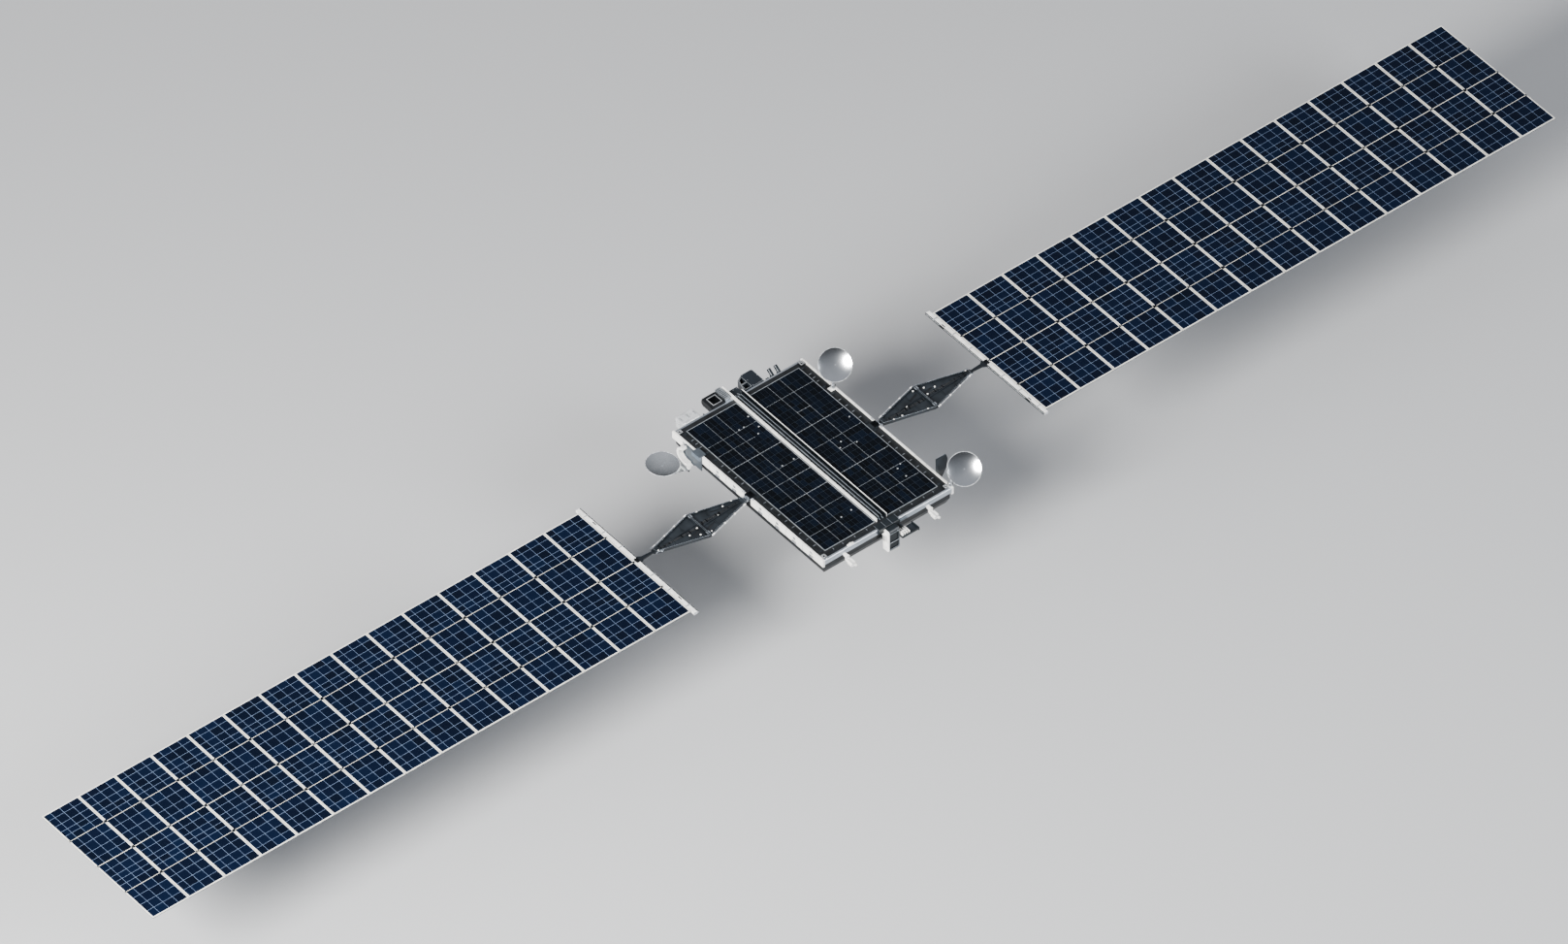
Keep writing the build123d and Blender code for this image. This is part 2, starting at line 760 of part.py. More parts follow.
def make_dish_feet():
    """Fixed seats of the three turntables."""
    feet = []
    hx = bus_half_x - rail_width - seat_gap
    hy = bus_half_y - rail_width - seat_gap
    for name in ("a", "b"):
        x, y = dish_table[name][0][:2]
        foot = rod_z(x, y, deck_z + seat_gap, dish_seat_z(name), turntable_radius + 4)
        foot -= box(hx, bus_half_x + 90, y - 90, y + 90, 0, rail_top + seat_gap)
        foot -= box(x - 90, x + 90, -bus_half_y - 90, -hy, 0, rail_top + seat_gap)
        if name == "a":
            foot += box(x - 74, hx - seat_gap, y - 50, y + 50, deck_z + seat_gap, deck_z + 9)
        else:
            edge_x = hx - corner_block - seat_gap
            edge_y = -hy + corner_block + seat_gap
            foot -= box(edge_x, hx + 1, -hy - 1, edge_y, 0, rail_top - 2 + seat_gap)
        feet.append(foot)
    feet.append(make_side_bracket())
    return feet


def make_side_bracket():
    """Hanging plate and crescent arm that carry the low dish on the left."""
    px, py = dish_table["c"][0][:2]
    seat_z = dish_seat_z("c")
    x_wall = -bus_half_x - seat_gap
    y_low = py - 215
    y_cap = py - 15
    bracket = box(x_wall - 14, x_wall, y_low, py + 215, seat_z + 22, rail_top - 4)
    bracket += box(x_wall - 60, x_wall + 82, y_low, y_cap, rail_top + seat_gap, rail_top + 22)
    bracket += box(x_wall - 60, x_wall, y_low, y_cap, rail_top - 60, rail_top + 22)
    # crescent: elliptical band in the YZ plane, open towards -Y
    yc = py + 105
    zc = (seat_z + rail_top) / 2 + 4
    tall = (rail_top - seat_z) / 2 - 1
    points = []
    steps = 20
    for ry, rz, order in ((205.0, tall, 1), (152.0, tall - 50.0, -1)):
        row = []
        for i in range(steps + 1):
            a = math.radians(75 - 185 * i / steps)
            row.append((yc + ry * math.cos(a), zc + rz * math.sin(a)))
        points.extend(row[::order])
    bracket += prism_x(points, px - 16, x_wall)
    bracket += rod_z(px, py, seat_z, seat_z + 26, turntable_radius + 4)
    bracket += box(px - 20, x_wall, py - 20, py + 40, seat_z + 4, seat_z + 26)
    return bracket


# ---- rear equipment ------------------------------------------------------
case_margin = 205.0
case_width = 360.0
tracker_margins = (575.0, 435.0)


def make_rear_equipment():
    y0 = bus_half_y + seat_gap
    body_edge = bus_half_x - rail_width
    items = []
    # rounded box at the left
    case_x = -body_edge + case_margin
    case = box(case_x, case_x + case_width, y0, y0 + 235, -150, 44)
    case = fillet(case.edges().filter_by(Axis.Z), 26)
    case = fillet(case.faces().sort_by(Axis.Z)[-1].edges(), 16)
    items.append(case)
    # curved hood with a square mouth
    hood = box(-520, -250, y0, y0 + 330, -120, 52)
    hood = fillet(hood.faces().sort_by(Axis.Y)[-1].edges().filter_by(Axis.X), 80)
    hood = fillet(hood.edges().filter_by(Axis.Z).sort_by(Axis.X)[:2], 40)
    hood -= box(-462, -300, y0 + 50, y0 + 220, -40, 80)
    items.append(hood)
    # finned block
    fins = box(-245, -142, y0 + 6, y0 + 290, -60, 92)
    for i in range(7):
        y = y0 + 34 + i * 36
        fins -= box(-250, -158, y, y + 20, 20, 100)
    fins += box(-245, -142, y0, y0 + 8, -60, 20)
    items.append(fins)
    # flat plate and cable tray
    tray_plate = box(-70, 118, y0, y0 + 170, deck_z - 18, deck_z - 2)
    tray_plate += box(-70, 118, y0, y0 + 16, -60, deck_z - 2)
    items.append(tray_plate)
    # box on an open side frame
    unit = box(330, 560, y0, y0 + 330, -150, 46)
    unit = chamfer(unit.faces().sort_by(Axis.Z)[-1].edges(), 8)
    items.append(unit)
    frame = prism_z(
        [(150, y0), (330 - seat_gap, y0), (330 - seat_gap, y0 + 320), (215, y0 + 260)],
        -110, 40,
    )
    frame -= prism_z(
        [(180, y0 + 18), (312, y0 + 18), (312, y0 + 130), (195, y0 + 130)],
        -111, 41,
    )
    frame -= prism_z(
        [(203, y0 + 150), (312, y0 + 150), (312, y0 + 285), (232, y0 + 246)],
        -111, 41,
    )
    items.append(frame)
    # star tracker pair near the right corner
    for margin in tracker_margins:
        x = body_edge - margin
        tube = rod_between((x, y0 + 30, 0), (x, y0 + 130, 70), 34)
        tube += box(x - 30, x + 30, y0, y0 + 60, -60, 10)
        bore = rod_between((x, y0 + 70, 28), (x, y0 + 150, 84), 27)
        items.append(tube - bore)
    return items


# ---- front fittings ------------------------------------------------------
def make_front_cover():
    """Saddle over the front rail, its post, and the tray beside it."""
    yf = -bus_half_y
    g = seat_gap
    z_under = rail_top + g
    saddle = box(-225, 212, yf - 40, yf + 118, z_under, z_under + 12)
    saddle += box(-225, 212, yf - 40, yf - g, -40, z_under + 12)
    saddle = chamfer(saddle.edges().filter_by(Axis.X).sort_by(Axis.Y)[:2], 6)
    post = box(-124, 96, yf - 172, yf - 38, -372, z_under + 4)
    post = chamfer(post.edges().filter_by(Axis.X).sort_by(Axis.Z)[-2:], 24)
    post -= box(-96, 68, yf - 180, yf - 158, -200, -10)
    post -= box(-96, 68, yf - 180, yf - 158, -344, -226)
    cover = saddle + post
    gusset = prism_x(
        [(yf - 42, -190), (yf - 168, -372), (yf - 42, -372)],
        -150, -124,
    )
    fitting = box(-176, -123, yf - 120, yf - 40, -150, -40)
    for i in range(4):
        fitting -= box(-180, -132, yf - 125, yf - 60, -142 + i * 26, -130 + i * 26)
    cover += gusset
    cover += fitting
    shelf = box(95, 452, yf - 250, yf - 60, -150, -138)
    shelf += box(430, 452, yf - 250, yf - 60, -170, -110)
    shelf += box(95, 452, yf - 250, yf - 238, -150, -112)
    cover += shelf
    # lattice on the shelf
    for i in range(4):
        x = 120 + i * 44
        cover += box(x, x + 14, yf - 230, yf - 90, -139, -84)
    cover += box(120, 266, yf - 168, yf - 150, -100, -84)
    brace = box(200, 230, yf - 92, yf - g - 30, -150, -100)
    cover += brace
    hook = box(200, 230, yf - 92, yf - g, -100, -58)
    cover += hook
    return cover


left_latch_margin = 445.0
right_latch_margin = 553.0
cap_margin = 598.0


def make_latch_fittings():
    """Two-lobed white fittings under the front rail and a round cap on it."""
    yf = -bus_half_y
    items = []
    for x in (-bus_half_x + left_latch_margin, bus_half_x - right_latch_margin):
        arm = box(x - 20, x + 20, yf - 90, yf - seat_gap, -84, -20)
        arm += box(x - 34, x + 34, yf - 100, yf - 60, -120, -30)
        arm += box(x - 40, x + 40, yf - 240, yf - 130, -150, -70)
        arm += box(x - 14, x + 14, yf - 140, yf - 90, -120, -60)
        arm += rod_y(x - 40, yf - 262, yf - 120, -78, 24)
        arm += rod_y(x + 40, yf - 262, yf - 120, -142, 24)
        items.append(arm)
    cap_x = -bus_half_x + cap_margin
    cap = Pos(cap_x, yf + 26, rail_top + seat_gap) * Cylinder(
        26, 22, align=(Align.CENTER, Align.CENTER, Align.MIN)
    )
    cap += box(
        cap_x - 63, cap_x + 63, yf + 6, yf + 46,
        rail_top + seat_gap, rail_top + 14,
    )
    items.append(cap)
    return items


fin_end_margin = 370.0
fin_depth = 100.0


def make_side_fin():
    """Dark facetted shroud standing on the right rail near the front dish."""
    x0 = bus_half_x + seat_gap
    y0 = -bus_half_y + fin_end_margin
    y1 = y0 + fin_depth
    body = prism_y([(x0, -60), (x0 + 40, -60), (x0 + 215, 250), (x0 + 205, 330), (x0, 330)], y0, y1)
    wedge = prism_x([(y0 - 1, 340), (y0 - 1, 120), (y1 - 20, 340)], x0 - 1, x0 + 240)
    body -= wedge
    body -= prism_y([(x0 + 14, 0), (x0 + 60, 0), (x0 + 180, 240), (x0 + 14, 240)], y1 - 40, y1 + 1)
    return body


os.makedirs("parts", exist_ok=True)

save("bus_body", make_bus_body())
save("side_rails", make_side_rails())
save("end_rails", make_end_rails())
save("deck_panels", make_deck_panels())
save("spine_rails", make_spine())
save("nadir_tiles", make_nadir_tiles())
save("rear_equipment", make_rear_equipment())
save("front_cover", make_front_cover())
save("latch_fittings", make_latch_fittings())
save("side_fin", make_side_fin())
save("dish_feet", make_dish_feet())
housing = make_drive_housing()
save("drive_housings", [housing, half_turn(housing)])

wing_pieces = {
    "drive_clevis": make_drive_clevis(),
    "yoke_inner": make_yoke_inner(),
    "yoke_outer": make_yoke_outer(),
    "strut_inner": make_strut_inner(),
    "strut_outer": make_strut_outer(),
    "root_bar": make_root_bar(),
}
for number in range(1, panel_count + 1):
    wing_pieces[f"panel_{number:02d}"] = make_panel(number)
for piece_name, piece in wing_pieces.items():
    save(f"right_{piece_name}", piece)
    save(f"left_{piece_name}", half_turn(piece))

for dish_name in dish_table:
    save(f"gimbal_{dish_name}", make_gimbal(dish_name))
    save(f"reflector_{dish_name}", make_reflector(dish_name))
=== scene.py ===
import math
import bpy
from mathutils import Matrix, Vector


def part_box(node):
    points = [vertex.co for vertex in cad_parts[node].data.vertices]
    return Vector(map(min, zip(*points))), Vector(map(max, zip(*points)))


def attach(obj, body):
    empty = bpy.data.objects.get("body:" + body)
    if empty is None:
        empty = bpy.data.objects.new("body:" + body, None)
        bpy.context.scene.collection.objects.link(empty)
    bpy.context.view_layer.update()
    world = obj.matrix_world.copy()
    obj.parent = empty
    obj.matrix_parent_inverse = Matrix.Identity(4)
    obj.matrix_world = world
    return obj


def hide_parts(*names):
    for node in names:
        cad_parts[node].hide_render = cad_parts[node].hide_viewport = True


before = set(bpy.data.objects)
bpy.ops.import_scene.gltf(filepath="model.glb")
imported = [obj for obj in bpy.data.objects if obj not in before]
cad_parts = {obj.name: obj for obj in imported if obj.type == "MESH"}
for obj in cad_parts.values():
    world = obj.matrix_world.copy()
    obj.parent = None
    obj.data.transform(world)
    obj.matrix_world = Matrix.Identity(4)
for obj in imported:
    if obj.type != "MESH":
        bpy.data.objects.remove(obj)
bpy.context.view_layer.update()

print("frame loaded", len(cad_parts), "nodes")


# small helpers


def clearSelection():
    if bpy.context.object is not None and bpy.context.object.mode == "EDIT":
        bpy.ops.object.mode_set(mode="OBJECT")
    bpy.ops.object.select_all(action="DESELECT")


def pick(piece):
    clearSelection()
    piece.select_set(True)
    bpy.context.view_layer.objects.active = piece


def nameNew(name):
    # the object that the last operator made
    piece = bpy.context.object
    piece.name = name
    return piece


def startBlock(name, low, high):
    # box between two corners, given in any order
    clearSelection()
    centre = [(a + b) / 2 for a, b in zip(low, high)]
    size = [abs(b - a) for a, b in zip(low, high)]
    bpy.ops.mesh.primitive_cube_add(size=1, location=centre, scale=size)
    piece = nameNew(name)
    bpy.ops.object.transform_apply(location=True, rotation=True, scale=True)
    return piece


def startPad(name, x, y, halfX, halfY, low, high):
    # box centred on x and y, between two heights
    return startBlock(name, (x - halfX, y - halfY, low), (x + halfX, y + halfY, high))


def layAlong(piece, start, end, forward="Z", upward="Y"):
    # from the origin onto the line between two points
    turn = (end - start).to_track_quat(forward, upward).to_matrix().to_4x4()
    piece.data.transform(Matrix.Translation((start + end) / 2) @ turn)
    return piece


def startRod(name, start, end, radius, sides=16):
    clearSelection()
    start, end = Vector(start), Vector(end)
    bpy.ops.mesh.primitive_cylinder_add(vertices=sides, radius=radius, depth=(end - start).length)
    return layAlong(nameNew(name), start, end)


def startPin(name, x, y, low, high, radius, sides=16):
    # upright rod between two heights
    return startRod(name, (x, y, low), (x, y, high), radius, sides)


def startAxle(name, centre, reach, radius, sides=16):
    # rod that reaches equally far to both sides of its centre
    centre, reach = Vector(centre), Vector(reach)
    return startRod(name, centre - reach, centre + reach, radius, sides)


def startTube(name, start, end, outer, inner, sides=32):
    # open cylinder whose wall is thickened inwards
    clearSelection()
    start, end = Vector(start), Vector(end)
    bpy.ops.mesh.primitive_cylinder_add(
        vertices=sides, radius=outer, depth=(end - start).length, end_fill_type="NOTHING"
    )
    tube = nameNew(name)
    applyModifier(tube, "SOLIDIFY", thickness=outer - inner, offset=-1.0)
    return layAlong(tube, start, end)


def startBeam(name, start, end, width, height):
    # square bar between two points, its top and bottom kept level
    clearSelection()
    start, end = Vector(start), Vector(end)
    bpy.ops.mesh.primitive_cube_add(size=1, scale=((end - start).length, width, height))
    beam = nameNew(name)
    bpy.ops.object.transform_apply(location=True, rotation=True, scale=True)
    return layAlong(beam, start, end, "X", "Z")


def startRing(name, centre, radius, thickness, turn=None, sides=48):
    clearSelection()
    bpy.ops.mesh.primitive_torus_add(
        major_radius=radius, minor_radius=thickness, major_segments=sides, minor_segments=10
    )
    ring = nameNew(name)
    ring.data.transform(Matrix.Translation(centre) @ (turn or Matrix.Identity(4)))
    return ring


def startBolt(name, foot, axis, radius, height):
    # hexagon head on a round washer
    foot, axis = Vector(foot), Vector(axis).normalized()
    washer = startRod(name, foot, foot + axis * height * 0.3, radius * 1.35, 16)
    hexagon = startRod(name, foot + axis * height * 0.3, foot + axis * height, radius, 6)
    return joinPieces(name, [washer, hexagon])


def copyEach(first, name, spots):
    # one copy at each spot, and the first one removed
    row = [copyOf(first, name, Matrix.Translation(spot)) for spot in spots]
    bpy.data.objects.remove(first)
    return joinPieces(name, row)


def boltRow(name, spots, radius, height):
    first = startBolt(name, (0, 0, 0), (0, 0, 1), radius, height)
    softenEdges(first, radius * 0.12, 1)
    return copyEach(first, name, spots)


def spread(low, high, count):
    return [low + (high - low) * i / (count - 1) for i in range(count)]


def applyModifier(piece, kind, **settings):
    pick(piece)
    modifier = piece.modifiers.new(kind.title(), kind)
    for key, value in settings.items():
        setattr(modifier, key, value)
    bpy.ops.object.modifier_apply(modifier=modifier.name)


def softenEdges(piece, width, segments=2, angle=35):
    applyModifier(
        piece, "BEVEL", width=width, segments=segments,
        limit_method="ANGLE", angle_limit=math.radians(angle),
    )


def joinPieces(name, parts, bevel=0.0, segments=2):
    clearSelection()
    for part in parts:
        part.select_set(True)
    bpy.context.view_layer.objects.active = parts[0]
    bpy.ops.object.join()
    piece = nameNew(name)
    if bevel:
        softenEdges(piece, bevel, segments)
    return piece


def copyOf(piece, name, matrix):
    other = piece.copy()
    other.data = piece.data.copy()
    other.data.transform(matrix)
    other.name = name
    bpy.context.scene.collection.objects.link(other)
    return other


def makeCells(name, low, high, z, columns, rows, gap, glass, markStep):
    # a plane cut along every cell line, each cell inset, numbered and given thickness
    clearSelection()
    middle = [(a + b) / 2 for a, b in zip(low, high)]
    bpy.ops.mesh.primitive_plane_add(size=1, location=(*middle, z))
    sheet = nameNew(name)
    sheet.scale = (abs(high[0] - low[0]), high[1] - low[1], 1)
    bpy.ops.object.transform_apply(location=True, rotation=True, scale=True)
    bpy.ops.object.mode_set(mode="EDIT")
    cuts = [((x, 0, z), (1, 0, 0)) for x in columns] + [((0, y, z), (0, 1, 0)) for y in rows]
    for spot, normal in cuts:
        bpy.ops.mesh.select_all(action="SELECT")
        bpy.ops.mesh.bisect(plane_co=spot, plane_no=normal)
    bpy.ops.mesh.select_mode(type="FACE")
    bpy.ops.mesh.select_all(action="SELECT")
    bpy.ops.mesh.inset(thickness=gap, use_individual=True)
    bpy.ops.mesh.select_all(action="INVERT")
    bpy.ops.mesh.delete(type="FACE")
    bpy.ops.object.mode_set(mode="OBJECT")
    marks = sheet.data.attributes.new("cellIndex", "FLOAT", "FACE")
    for number, mark in enumerate(marks.data):
        mark.value = number * markStep
    applyModifier(sheet, "SOLIDIFY", thickness=glass, offset=1.0)
    return sheet


def finishPiece(piece, body, material, smoothAngle=32):
    pick(piece)
    bpy.ops.object.transform_apply(location=True, rotation=True, scale=True)
    piece.data.materials.clear()
    piece.data.materials.append(material)
    bpy.ops.object.shade_smooth_by_angle(angle=math.radians(smoothAngle))
    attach(piece, body)
    return piece


halfTurn = Matrix.Rotation(math.pi, 4, "Z")
sides = (("right", Matrix.Identity(4)), ("left", halfTurn))


def finishBothSides(piece, label, body, material):
    # body is the part of the name after the side, or bus
    for side, turn in sides:
        owner = body if body == "bus" else side + body
        finishPiece(copyOf(piece, side + label, turn), owner, material)
    bpy.data.objects.remove(piece)


# camera, lights and floor

camera = {
    "place": (-137.2252, -172.0396, 213.6921),
    "turn": (45.8081, 0.4343, -38.8765),
    "lens": 429.62,
}
bpy.ops.object.camera_add(location=camera["place"])
viewer = nameNew("studioCamera")
viewer.rotation_euler = [math.radians(a) for a in camera["turn"]]
viewer.data.sensor_width = 36.0
viewer.data.lens = camera["lens"]
viewer.data.clip_start = 1.0
viewer.data.clip_end = 3000.0
bpy.context.scene.camera = viewer

studio = {
    "floorHeight": -2.4,
    "floorReach": 900.0,
    "keyPlace": (-46.0, -14.0, 30.0), "keySize": 20.0, "keyPower": 62000.0,
    "fillPlace": (22.0, -50.0, 35.0), "fillSize": 24.0, "fillPower": 20000.0,
    "skyLow": 0.08, "skyHigh": 0.56,
}


def addLamp(name, place, size, power, colour):
    bpy.ops.object.light_add(type="AREA", location=place)
    lamp = nameNew(name)
    lamp.rotation_euler = (-Vector(place)).to_track_quat("-Z", "Y").to_euler()
    lamp.data.shape = "DISK"
    lamp.data.size = size
    lamp.data.energy = power
    lamp.data.color = colour


addLamp("keyLamp", studio["keyPlace"], studio["keySize"], studio["keyPower"], (1.0, 0.985, 0.96))
addLamp("fillLamp", studio["fillPlace"], studio["fillSize"], studio["fillPower"], (0.95, 0.97, 1.0))


# materials


def linearColour(hexText):
    # sRGB hex to the linear values that the shader takes
    parts = [int(hexText[i:i + 2], 16) / 255 for i in (1, 3, 5)]
    turned = [c / 12.92 if c <= 0.04045 else ((c + 0.055) / 1.055) ** 2.4 for c in parts]
    return (*turned, 1.0)


def addNode(tree, kind, settings=None, inputs=None, links=None):
    node = tree.nodes.new(kind)
    for key, value in (settings or {}).items():
        setattr(node, key, value)
    for key, value in (inputs or {}).items():
        node.inputs[key].default_value = value
    for key, source in (links or {}).items():
        tree.links.new(source, node.inputs[key])
    return node


def addNoise(tree, place, scale, detail=2.0, roughness=0.5):
    inputs = {"Scale": scale, "Detail": detail, "Roughness": roughness}
    return addNode(tree, "ShaderNodeTexNoise", None, inputs, {"Vector": place}).outputs["Fac"]


def addRange(tree, source, low, high, start=0.0, end=1.0):
    # turns start..end of the source into low..high
    inputs = {"From Min": start, "From Max": end, "To Min": low, "To Max": high}
    return addNode(tree, "ShaderNodeMapRange", None, inputs, {"Value": source}).outputs[0]


def addMath(tree, operation, links, inputs=None):
    return addNode(tree, "ShaderNodeMath", {"operation": operation}, inputs, links).outputs[0]


def addRamp(tree, source, stops):
    ramp = addNode(tree, "ShaderNodeValToRGB", links={"Fac": source})
    elements = ramp.color_ramp.elements
    for element, (position, colour) in zip(elements, (stops[0], stops[-1])):
        element.position = position
        element.color = linearColour(colour)
    for position, colour in stops[1:-1]:
        elements.new(position).color = linearColour(colour)
    return ramp


def startMaterial(name, **shaderValues):
    material = bpy.data.materials.new(name)
    material.use_nodes = True
    tree = material.node_tree
    tree.nodes.clear()
    shader = addNode(tree, "ShaderNodeBsdfPrincipled", inputs=shaderValues)
    addNode(tree, "ShaderNodeOutputMaterial", links={"Surface": shader.outputs[0]})
    place = addNode(tree, "ShaderNodeTexCoord")
    return material, tree, shader, place.outputs["Object"]


def dressShader(tree, shader, colour, roughness, height, distance):
    # colour, roughness and a bump of the given depth in metres
    tree.links.new(colour, shader.inputs["Base Color"])
    tree.links.new(roughness, shader.inputs["Roughness"])
    bump = addNode(tree, "ShaderNodeBump", None, {"Distance": distance, "Strength": 1.0}, {"Height": height})
    tree.links.new(bump.outputs["Normal"], shader.inputs["Normal"])


def mottledMaterial(name, light, dark, scale, low, high, bumpScale, bumpDepth,
                    metallic=0.0, ior=1.5, stretch=(1, 1, 1), coat=0.0):
    # two close tones in soft patches, roughness that follows them, fine grain on top
    material, tree, shader, place = startMaterial(
        name, Metallic=metallic, IOR=ior, **{"Coat Weight": coat, "Coat Roughness": 0.12}
    )
    mapping = addNode(tree, "ShaderNodeMapping", inputs={"Scale": stretch}, links={"Vector": place})
    patch = addNoise(tree, mapping.outputs[0], scale, 5.0, 0.6)
    ramp = addRamp(tree, patch, ((0.3, dark), (0.7, light)))
    rough = addRange(tree, patch, low, high, 0.3, 0.7)
    grain = addNoise(tree, mapping.outputs[0], bumpScale, 3.0)
    dressShader(tree, shader, ramp.outputs[0], rough, grain, bumpDepth)
    return material


# each line: two tones, patch scale, roughness range, grain scale and grain depth in metres

# white thermal paint, sprayed: bright, slightly warm, satin with faint overspray patches
whitePaint = mottledMaterial(
    "thermalPaintWhiteSprayed", "#f6f5f1", "#e6e6e3", 6.0, 0.28, 0.42, 700.0, 0.00012, coat=0.15)
# anodised aluminium extrusion: cool satin grey with a brushed grain along X
satinAluminium = mottledMaterial(
    "anodisedAluminiumSatin", "#c9ced4", "#a4abb3", 9.0, 0.26, 0.4, 900.0, 0.0001,
    metallic=0.85, stretch=(0.06, 1, 1))
# bare machined aluminium fittings: light, small bright scratches
machinedAluminium = mottledMaterial(
    "machinedAluminiumBright", "#eceef0", "#c6cacd", 22.0, 0.18, 0.36, 1300.0, 0.00012, metallic=0.7)
# black polyimide foil over honeycomb: very dark, soft crumples that catch the light
blackFoil = mottledMaterial(
    "blackPolyimideFoil", "#24272b", "#0f1113", 5.0, 0.34, 0.55, 26.0, 0.004, ior=1.6)
# carbon fibre sheet, resin rich: charcoal with a blue-grey sheen
carbonSheet = mottledMaterial(
    "carbonSheetPressed", "#30363c", "#15191d", 3.2, 0.32, 0.5, 90.0, 0.0012, ior=1.55, coat=0.1)
# grey-blue equipment enamel, baked
equipmentEnamel = mottledMaterial(
    "equipmentEnamelGreyBlue", "#7d8893", "#59636e", 7.0, 0.36, 0.52, 500.0, 0.00015)
# radome laminate on the earth-facing side: matt off-white
radomeLaminate = mottledMaterial(
    "radomeLaminateMatt", "#dcdcd8", "#c5c6c4", 4.0, 0.55, 0.7, 260.0, 0.0002, ior=1.45)
# dark blue-grey laminate under the deck cells: shows as dim lines between them
deckFilm = mottledMaterial("deckLaminateSlate", "#39434f", "#272f39", 12.0, 0.4, 0.55, 320.0, 0.0002)
# blackened steel of pins, hinges and screws
blackenedSteel = mottledMaterial(
    "blackenedSteelPins", "#34373b", "#1b1d20", 30.0, 0.3, 0.5, 1200.0, 0.0001, metallic=0.8)
# woven glass tape on the wing edges: warm white, fine grain drawn coarse so that it shows
glassTape = mottledMaterial("glassTapeWarmWhite", "#efece2", "#dad6c9", 12.0, 0.45, 0.6, 320.0, 0.0003)
# tinned copper tracks and buttons: dull silver
tinnedTrack = mottledMaterial(
    "tinnedCopperTrack", "#bcc1c4", "#8b9196", 18.0, 0.28, 0.42, 900.0, 0.0001, metallic=0.45)
# third dish: the same silver skin painted brighter and softer than the polished pair, a painted highlight
# that stands in for its sunlit look
paintedHighlightReflector = mottledMaterial(
    "silveredReflectorPaintedHighlight", "#d2d5d8", "#c3c7ca", 4.0, 0.14, 0.2, 900.0, 0.0001, metallic=0.95)


def makeSubstrate():
    # flexible laminate under the cells: pale blue-grey with the weave of its face sheet
    material, tree, shader, place = startMaterial("arrayLaminatePale", IOR=1.5)
    weave = addNode(
        tree, "ShaderNodeTexBrick",
        inputs={
            "Scale": 1.0, "Brick Width": 0.012, "Row Height": 0.012, "Mortar Size": 0.0008,
            "Color1": linearColour("#8797b0"), "Color2": linearColour("#7b8ca6"),
            "Mortar": linearColour("#6a7b94"),
        },
        links={"Vector": place},
    )
    rough = addRange(tree, addNoise(tree, place, 3.0, 4.0), 0.42, 0.6)
    dressShader(tree, shader, weave.outputs["Color"], rough, weave.outputs["Fac"], 0.0002)
    return material


def makeCellGlass(name, tones, lineStep, gloss):
    # cover glass over gallium arsenide: navy, each cell its own tone, hair-fine grid fingers
    material, tree, shader, place = startMaterial(name, IOR=1.45, **{"Specular IOR Level": 0.28})
    index = addNode(tree, "ShaderNodeAttribute", {"attribute_name": "cellIndex"})
    split = addNode(tree, "ShaderNodeSeparateXYZ", links={"Vector": place})
    panel = addMath(tree, "SNAP", {0: split.outputs["X"]}, {1: 0.735})
    seed = addNode(tree, "ShaderNodeCombineXYZ", links={"X": index.outputs["Fac"], "Y": panel})
    chance = addNode(
        tree, "ShaderNodeTexWhiteNoise", {"noise_dimensions": "3D"}, links={"Vector": seed.outputs[0]}
    ).outputs["Value"]
    ramp = addRamp(tree, chance, tones)
    drift = addNoise(tree, place, 1.3)
    blend = addNode(
        tree, "ShaderNodeMix", {"data_type": "RGBA", "blend_type": "OVERLAY"},
        {"Factor": 0.2}, {"A": ramp.outputs[0], "B": drift},
    )
    fingers = addNode(
        tree, "ShaderNodeTexWave", {"bands_direction": "X", "wave_profile": "SAW"},
        {"Scale": 1 / lineStep / 3.1416 / 2, "Distortion": 0.0}, {"Vector": place},
    )
    lines = addRange(tree, fingers.outputs["Fac"], 0.0, 0.16, 0.93, 1.0)
    lined = addNode(
        tree, "ShaderNodeMix", {"data_type": "RGBA"}, {"B": linearColour("#6d7f93")},
        {"Factor": lines, "A": blend.outputs["Result"]},
    )
    rough = addRange(tree, chance, gloss, gloss + 0.1)
    dressShader(tree, shader, lined.outputs["Result"], rough, drift, 0.0006)
    return material


def makeReflector():
    # spun aluminium, polished: mirror bright with a faint long ripple
    material, tree, shader, place = startMaterial("spunAluminiumPolished", Metallic=1.0)
    patch = addNoise(tree, place, 3.0, 4.0)
    ramp = addRamp(tree, patch, ((0.3, "#b9bdc1"), (0.7, "#c8cbcf")))
    rough = addRange(tree, patch, 0.14, 0.2)
    dressShader(tree, shader, ramp.outputs[0], rough, addNoise(tree, place, 5.0, 0.0), 0.0006)
    return material


def makeFloorFinish():
    # pale matt studio floor, barely clouded
    material, tree, shader, place = startMaterial("studioFloorPale", Roughness=0.85)
    ramp = addRamp(tree, addNoise(tree, place, 0.02), ((0.2, "#b9babc"), (0.8, "#bfc0c1")))
    tree.links.new(ramp.outputs[0], shader.inputs["Base Color"])
    return material


